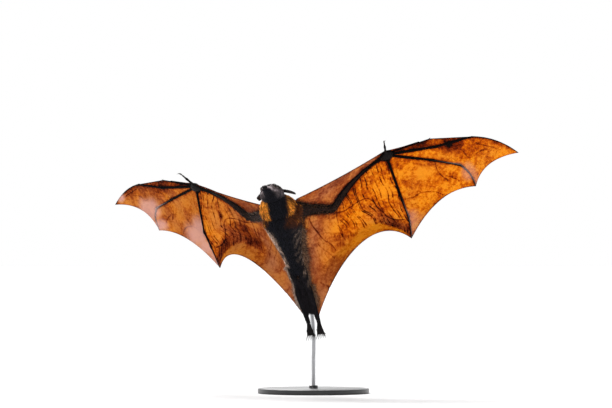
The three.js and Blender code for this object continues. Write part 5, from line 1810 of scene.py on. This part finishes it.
def claw(start, way, hook, length, radius):
    """A hooked, tapered claw: its mesh, each point's place along it, and its grain."""
    path = curve(start, start + way * length * 0.6, start + way * length * 0.75 + hook * length * 0.5)

    def sizes(s):
        girth = lerp(radius, CLAW_POINT, s**1.3)
        return np.stack([girth * 0.85, girth, girth], axis=1)

    body = tube(path, sizes, np.cross(hook, way), CLAW_RINGS, CLAW_SIDES, cap=0.6)
    return body, *tube_grain(CLAW_RINGS, CLAW_SIDES, radius, length)


def claws_object(name, claws, material, nodes):
    obj = mesh_object(name, *joined([c[0] for c in claws]))
    mark(obj, "tip", np.concatenate([c[1] for c in claws]))
    mark(obj, "grain", np.vstack([c[2] for c in claws]))
    return dress(obj, material, "claw", *nodes)


def build_claws(name, wing, material):
    toes = []
    for k in range(TOES):
        path = wing.toe(k)
        way = path.way(1.0)
        toes.append(claw(path.at(1.0) - way * 0.6, way, -BACK, CLAW + 1.8, 1.3))
    claws_object(f"claws_foot_{name}", toes, material, [f"claw_{name}_{k + 1}" for k in range(TOES)])
    hook = square(-wing.lead - wing.back * 0.4, wing.thumb_way)
    thumb_end = wing.wrist + wing.thumb_way * (THUMB + 0.8)
    thumb = claw(thumb_end, wing.thumb_way, hook, 11.2, 1.75)
    claws_object(f"claw_thumb_{name}", [thumb], material, [f"thumb_claw_{name}"])
    index_way = heading(*wing.pose["index"])
    index_end = wing.fingers["index"].tip - index_way * 0.5
    index = claw(index_end, index_way, wing.lead, 5.0, 1.0)
    claws_object(f"claw_index_{name}", [index], material, [f"index_claw_{name}"])


# ---------------------------------------------------------------- the stand

FOOT_RADIUS = 112
FOOT_HEIGHT = 10
ROD_RADIUS = 4
COLLAR = {"radius": 9, "height": 6}
ROD_POINTS = ((0, 0, 4), (0, 0, 60), (0, 0, 120), (-6, -2, 175), (-20, -11, 218), (-32, -17, 244))


FOOT_EDGE = 1.4                       # the softened edge's radius
DISC_SIDES = 96
ROD_RINGS, ROD_SIDES = 90, 28


def disc_profile():
    """The turned foot from the rod's opening, over the collar and the edge, to the middle below."""
    r, h, top, collar = FOOT_RADIUS, FOOT_HEIGHT, FOOT_HEIGHT + COLLAR["height"], COLLAR["radius"]
    rise = [(0.5, top - 0.4), (ROD_RADIUS + 0.1, top), (collar - 1.2, top), (collar - 0.2, top - 0.8)]
    rise += [(collar, top - 2), (collar, h + 1.2), (collar + 1.2, h), (collar + 4, h)]
    groove = [(r - 9, h), (r - 8, h - 0.5), (r - 7, h)]
    edge = [
        (r - FOOT_EDGE + FOOT_EDGE * math.sin(a), h - FOOT_EDGE + FOOT_EDGE * math.cos(a))
        for a in np.linspace(0, math.pi / 2, 6)
    ]
    under = [(r, 1.6), (r - 0.5, 0.5), (r - 1.6, 0), (r - 6, 0), (0.5, 0)]
    return np.array([*rise, *groove, *edge, *under])


def build_stand():
    """A turned disc with a softened edge, a small collar, and a steel rod up to the belly."""
    profile = disc_profile()
    rings = len(profile)
    angle = np.arange(DISC_SIDES) * 2 * math.pi / DISC_SIDES
    points = np.stack([
        profile[:, :1] * np.cos(angle),
        profile[:, :1] * np.sin(angle),
        np.repeat(profile[:, 1:], DISC_SIDES, axis=1),
    ], axis=-1).reshape(-1, 3)
    lid = np.arange(DISC_SIDES)[None]
    floor_ring = (rings - 1) * DISC_SIDES + lid[:, ::-1]
    turned_faces = grid_faces(rings, DISC_SIDES, loop=True)[:, ::-1]
    disc = mesh_object("stand_disc", points, turned_faces, lid, floor_ring)
    dress(disc, base_material(), "stand_foot", "stand_foot")
    path = Path(through(ROD_POINTS))
    rod_side = np.array((1.0, 0.0, 0.0))
    rod = mesh_object("stand_stem", *tube(path, even(ROD_RADIUS), rod_side, ROD_RINGS, ROD_SIDES, cap=0.0))
    mark(rod, "grain", tube_grain(ROD_RINGS, ROD_SIDES, ROD_RADIUS, path.length)[1])
    dress(rod, rod_material(), "stand_rod", "stand_rod")


# ---------------------------------------------------------------- studio


def add_lamp(name, kind, energy, place, turn, **settings):
    lamp = bpy.data.lights.new(name, kind)
    lamp.energy = energy
    for key, value in settings.items():
        setattr(lamp, key, value)
    obj = bpy.data.objects.new(name, lamp)
    obj.location = place
    obj.rotation_euler = turn
    bpy.context.scene.collection.objects.link(obj)


def build_studio():
    """A light floor, a soft sun from behind so that the wings glow, and a soft key light from the front."""
    half = 20000
    corners = np.array([(-half, -half, 0), (half, -half, 0), (half, half, 0), (-half, half, 0)], float)
    floor = mesh_object("studio_floor", corners, np.array([[0, 1, 2, 3]]))
    floor.data.materials.append(backdrop_material())
    from_behind = Vector((-0.25, 0.85, 0.8)).to_track_quat("Z", "Y").to_euler()
    add_lamp("back_sun", "SUN", 2.6, (0, 0, 0), from_behind, angle=math.radians(25))
    key_place = Vector((-1.4, -2.4, 1.9))
    to_bat = (Vector((-0.05, -0.1, 0.38)) - key_place).to_track_quat("-Z", "Y").to_euler()
    add_lamp("front_key", "AREA", 26, key_place, to_bat, size=1.6)


def build_world():
    """White to the camera; as light, brighter from behind than from the front."""
    m = Shader("studio_air", bpy.data.worlds)
    bpy.context.scene.world = m.owner
    direction = m.node("TexCoord").outputs["Generated"]
    depth = m.node("SeparateXYZ", {0: direction}).outputs["Y"]
    span = {"From Min": -0.9, "From Max": 0.9, "To Min": 0.32, "To Max": 1.15}
    shade = m.node("MapRange", {"Value": depth, **span}).outputs[0]
    seen = m.node("LightPath").outputs["Is Camera Ray"]
    strength = m.node("Mix", {0: seen, 2: shade, 3: 1.0}).outputs[0]
    light = m.node("Background", {"Color": (1, 1, 1, 1), "Strength": strength}).outputs[0]
    m.node("OutputWorld", {"Surface": light})


def build_camera():
    camera = bpy.data.cameras.new("camera")
    camera.sensor_width = SENSOR
    camera.lens = SENSOR * 1e4 / (PIXEL * IMAGE[0])
    camera.clip_end = 60
    camera_object = bpy.data.objects.new("camera", camera)
    camera_object.location = np.array([CAMERA["x"], CAMERA["y"], CAMERA["z"]]) * MM
    camera_object.rotation_euler = (math.pi / 2, 0, 0)
    bpy.context.scene.collection.objects.link(camera_object)
    bpy.context.scene.camera = camera_object


# ---------------------------------------------------------------- putting it together

bpy.context.scene.view_settings.view_transform = "Standard"
build_camera()
build_world()
build_studio()
build_stand()

limbs = body_limbs()
hide = Hide(limbs, *build_skin(limbs))
show_skin(hide)
generator = np.random.default_rng(SEED)
FURS = {
    "head_fur": fur_material("head_fur", 0.04),
    "mantle_fur": fur_material("mantle_fur", 0.03),
    "body_fur": fur_material("body_fur", 0.03),
}
for coat, spec in COATS.items():
    grow_coat(hide, coat, spec, generator, FURS[spec["slot"]])

surfaces = {name: Membranes(wing) for name, wing in WING.items()}
vessels = vessel_lines(surfaces["left"])
WING_SKIN, EAR_SKIN, EYE_SURFACE, HORN = membrane_material(), ear_material(), eye_material(), claw_material()
for name, wing in WING.items():
    surface = build_wing(name, surfaces[name], vessels, WING_SKIN)
    grow_fringe(f"coat_fringe_{name}", surfaces[name], *surface, generator, FURS["body_fur"])
    build_ear(name, wing.side, EAR_SKIN)
    build_eye(name, wing.side, EYE_SURFACE)
    build_claws(name, wing, HORN)
build_nose(nose_material())
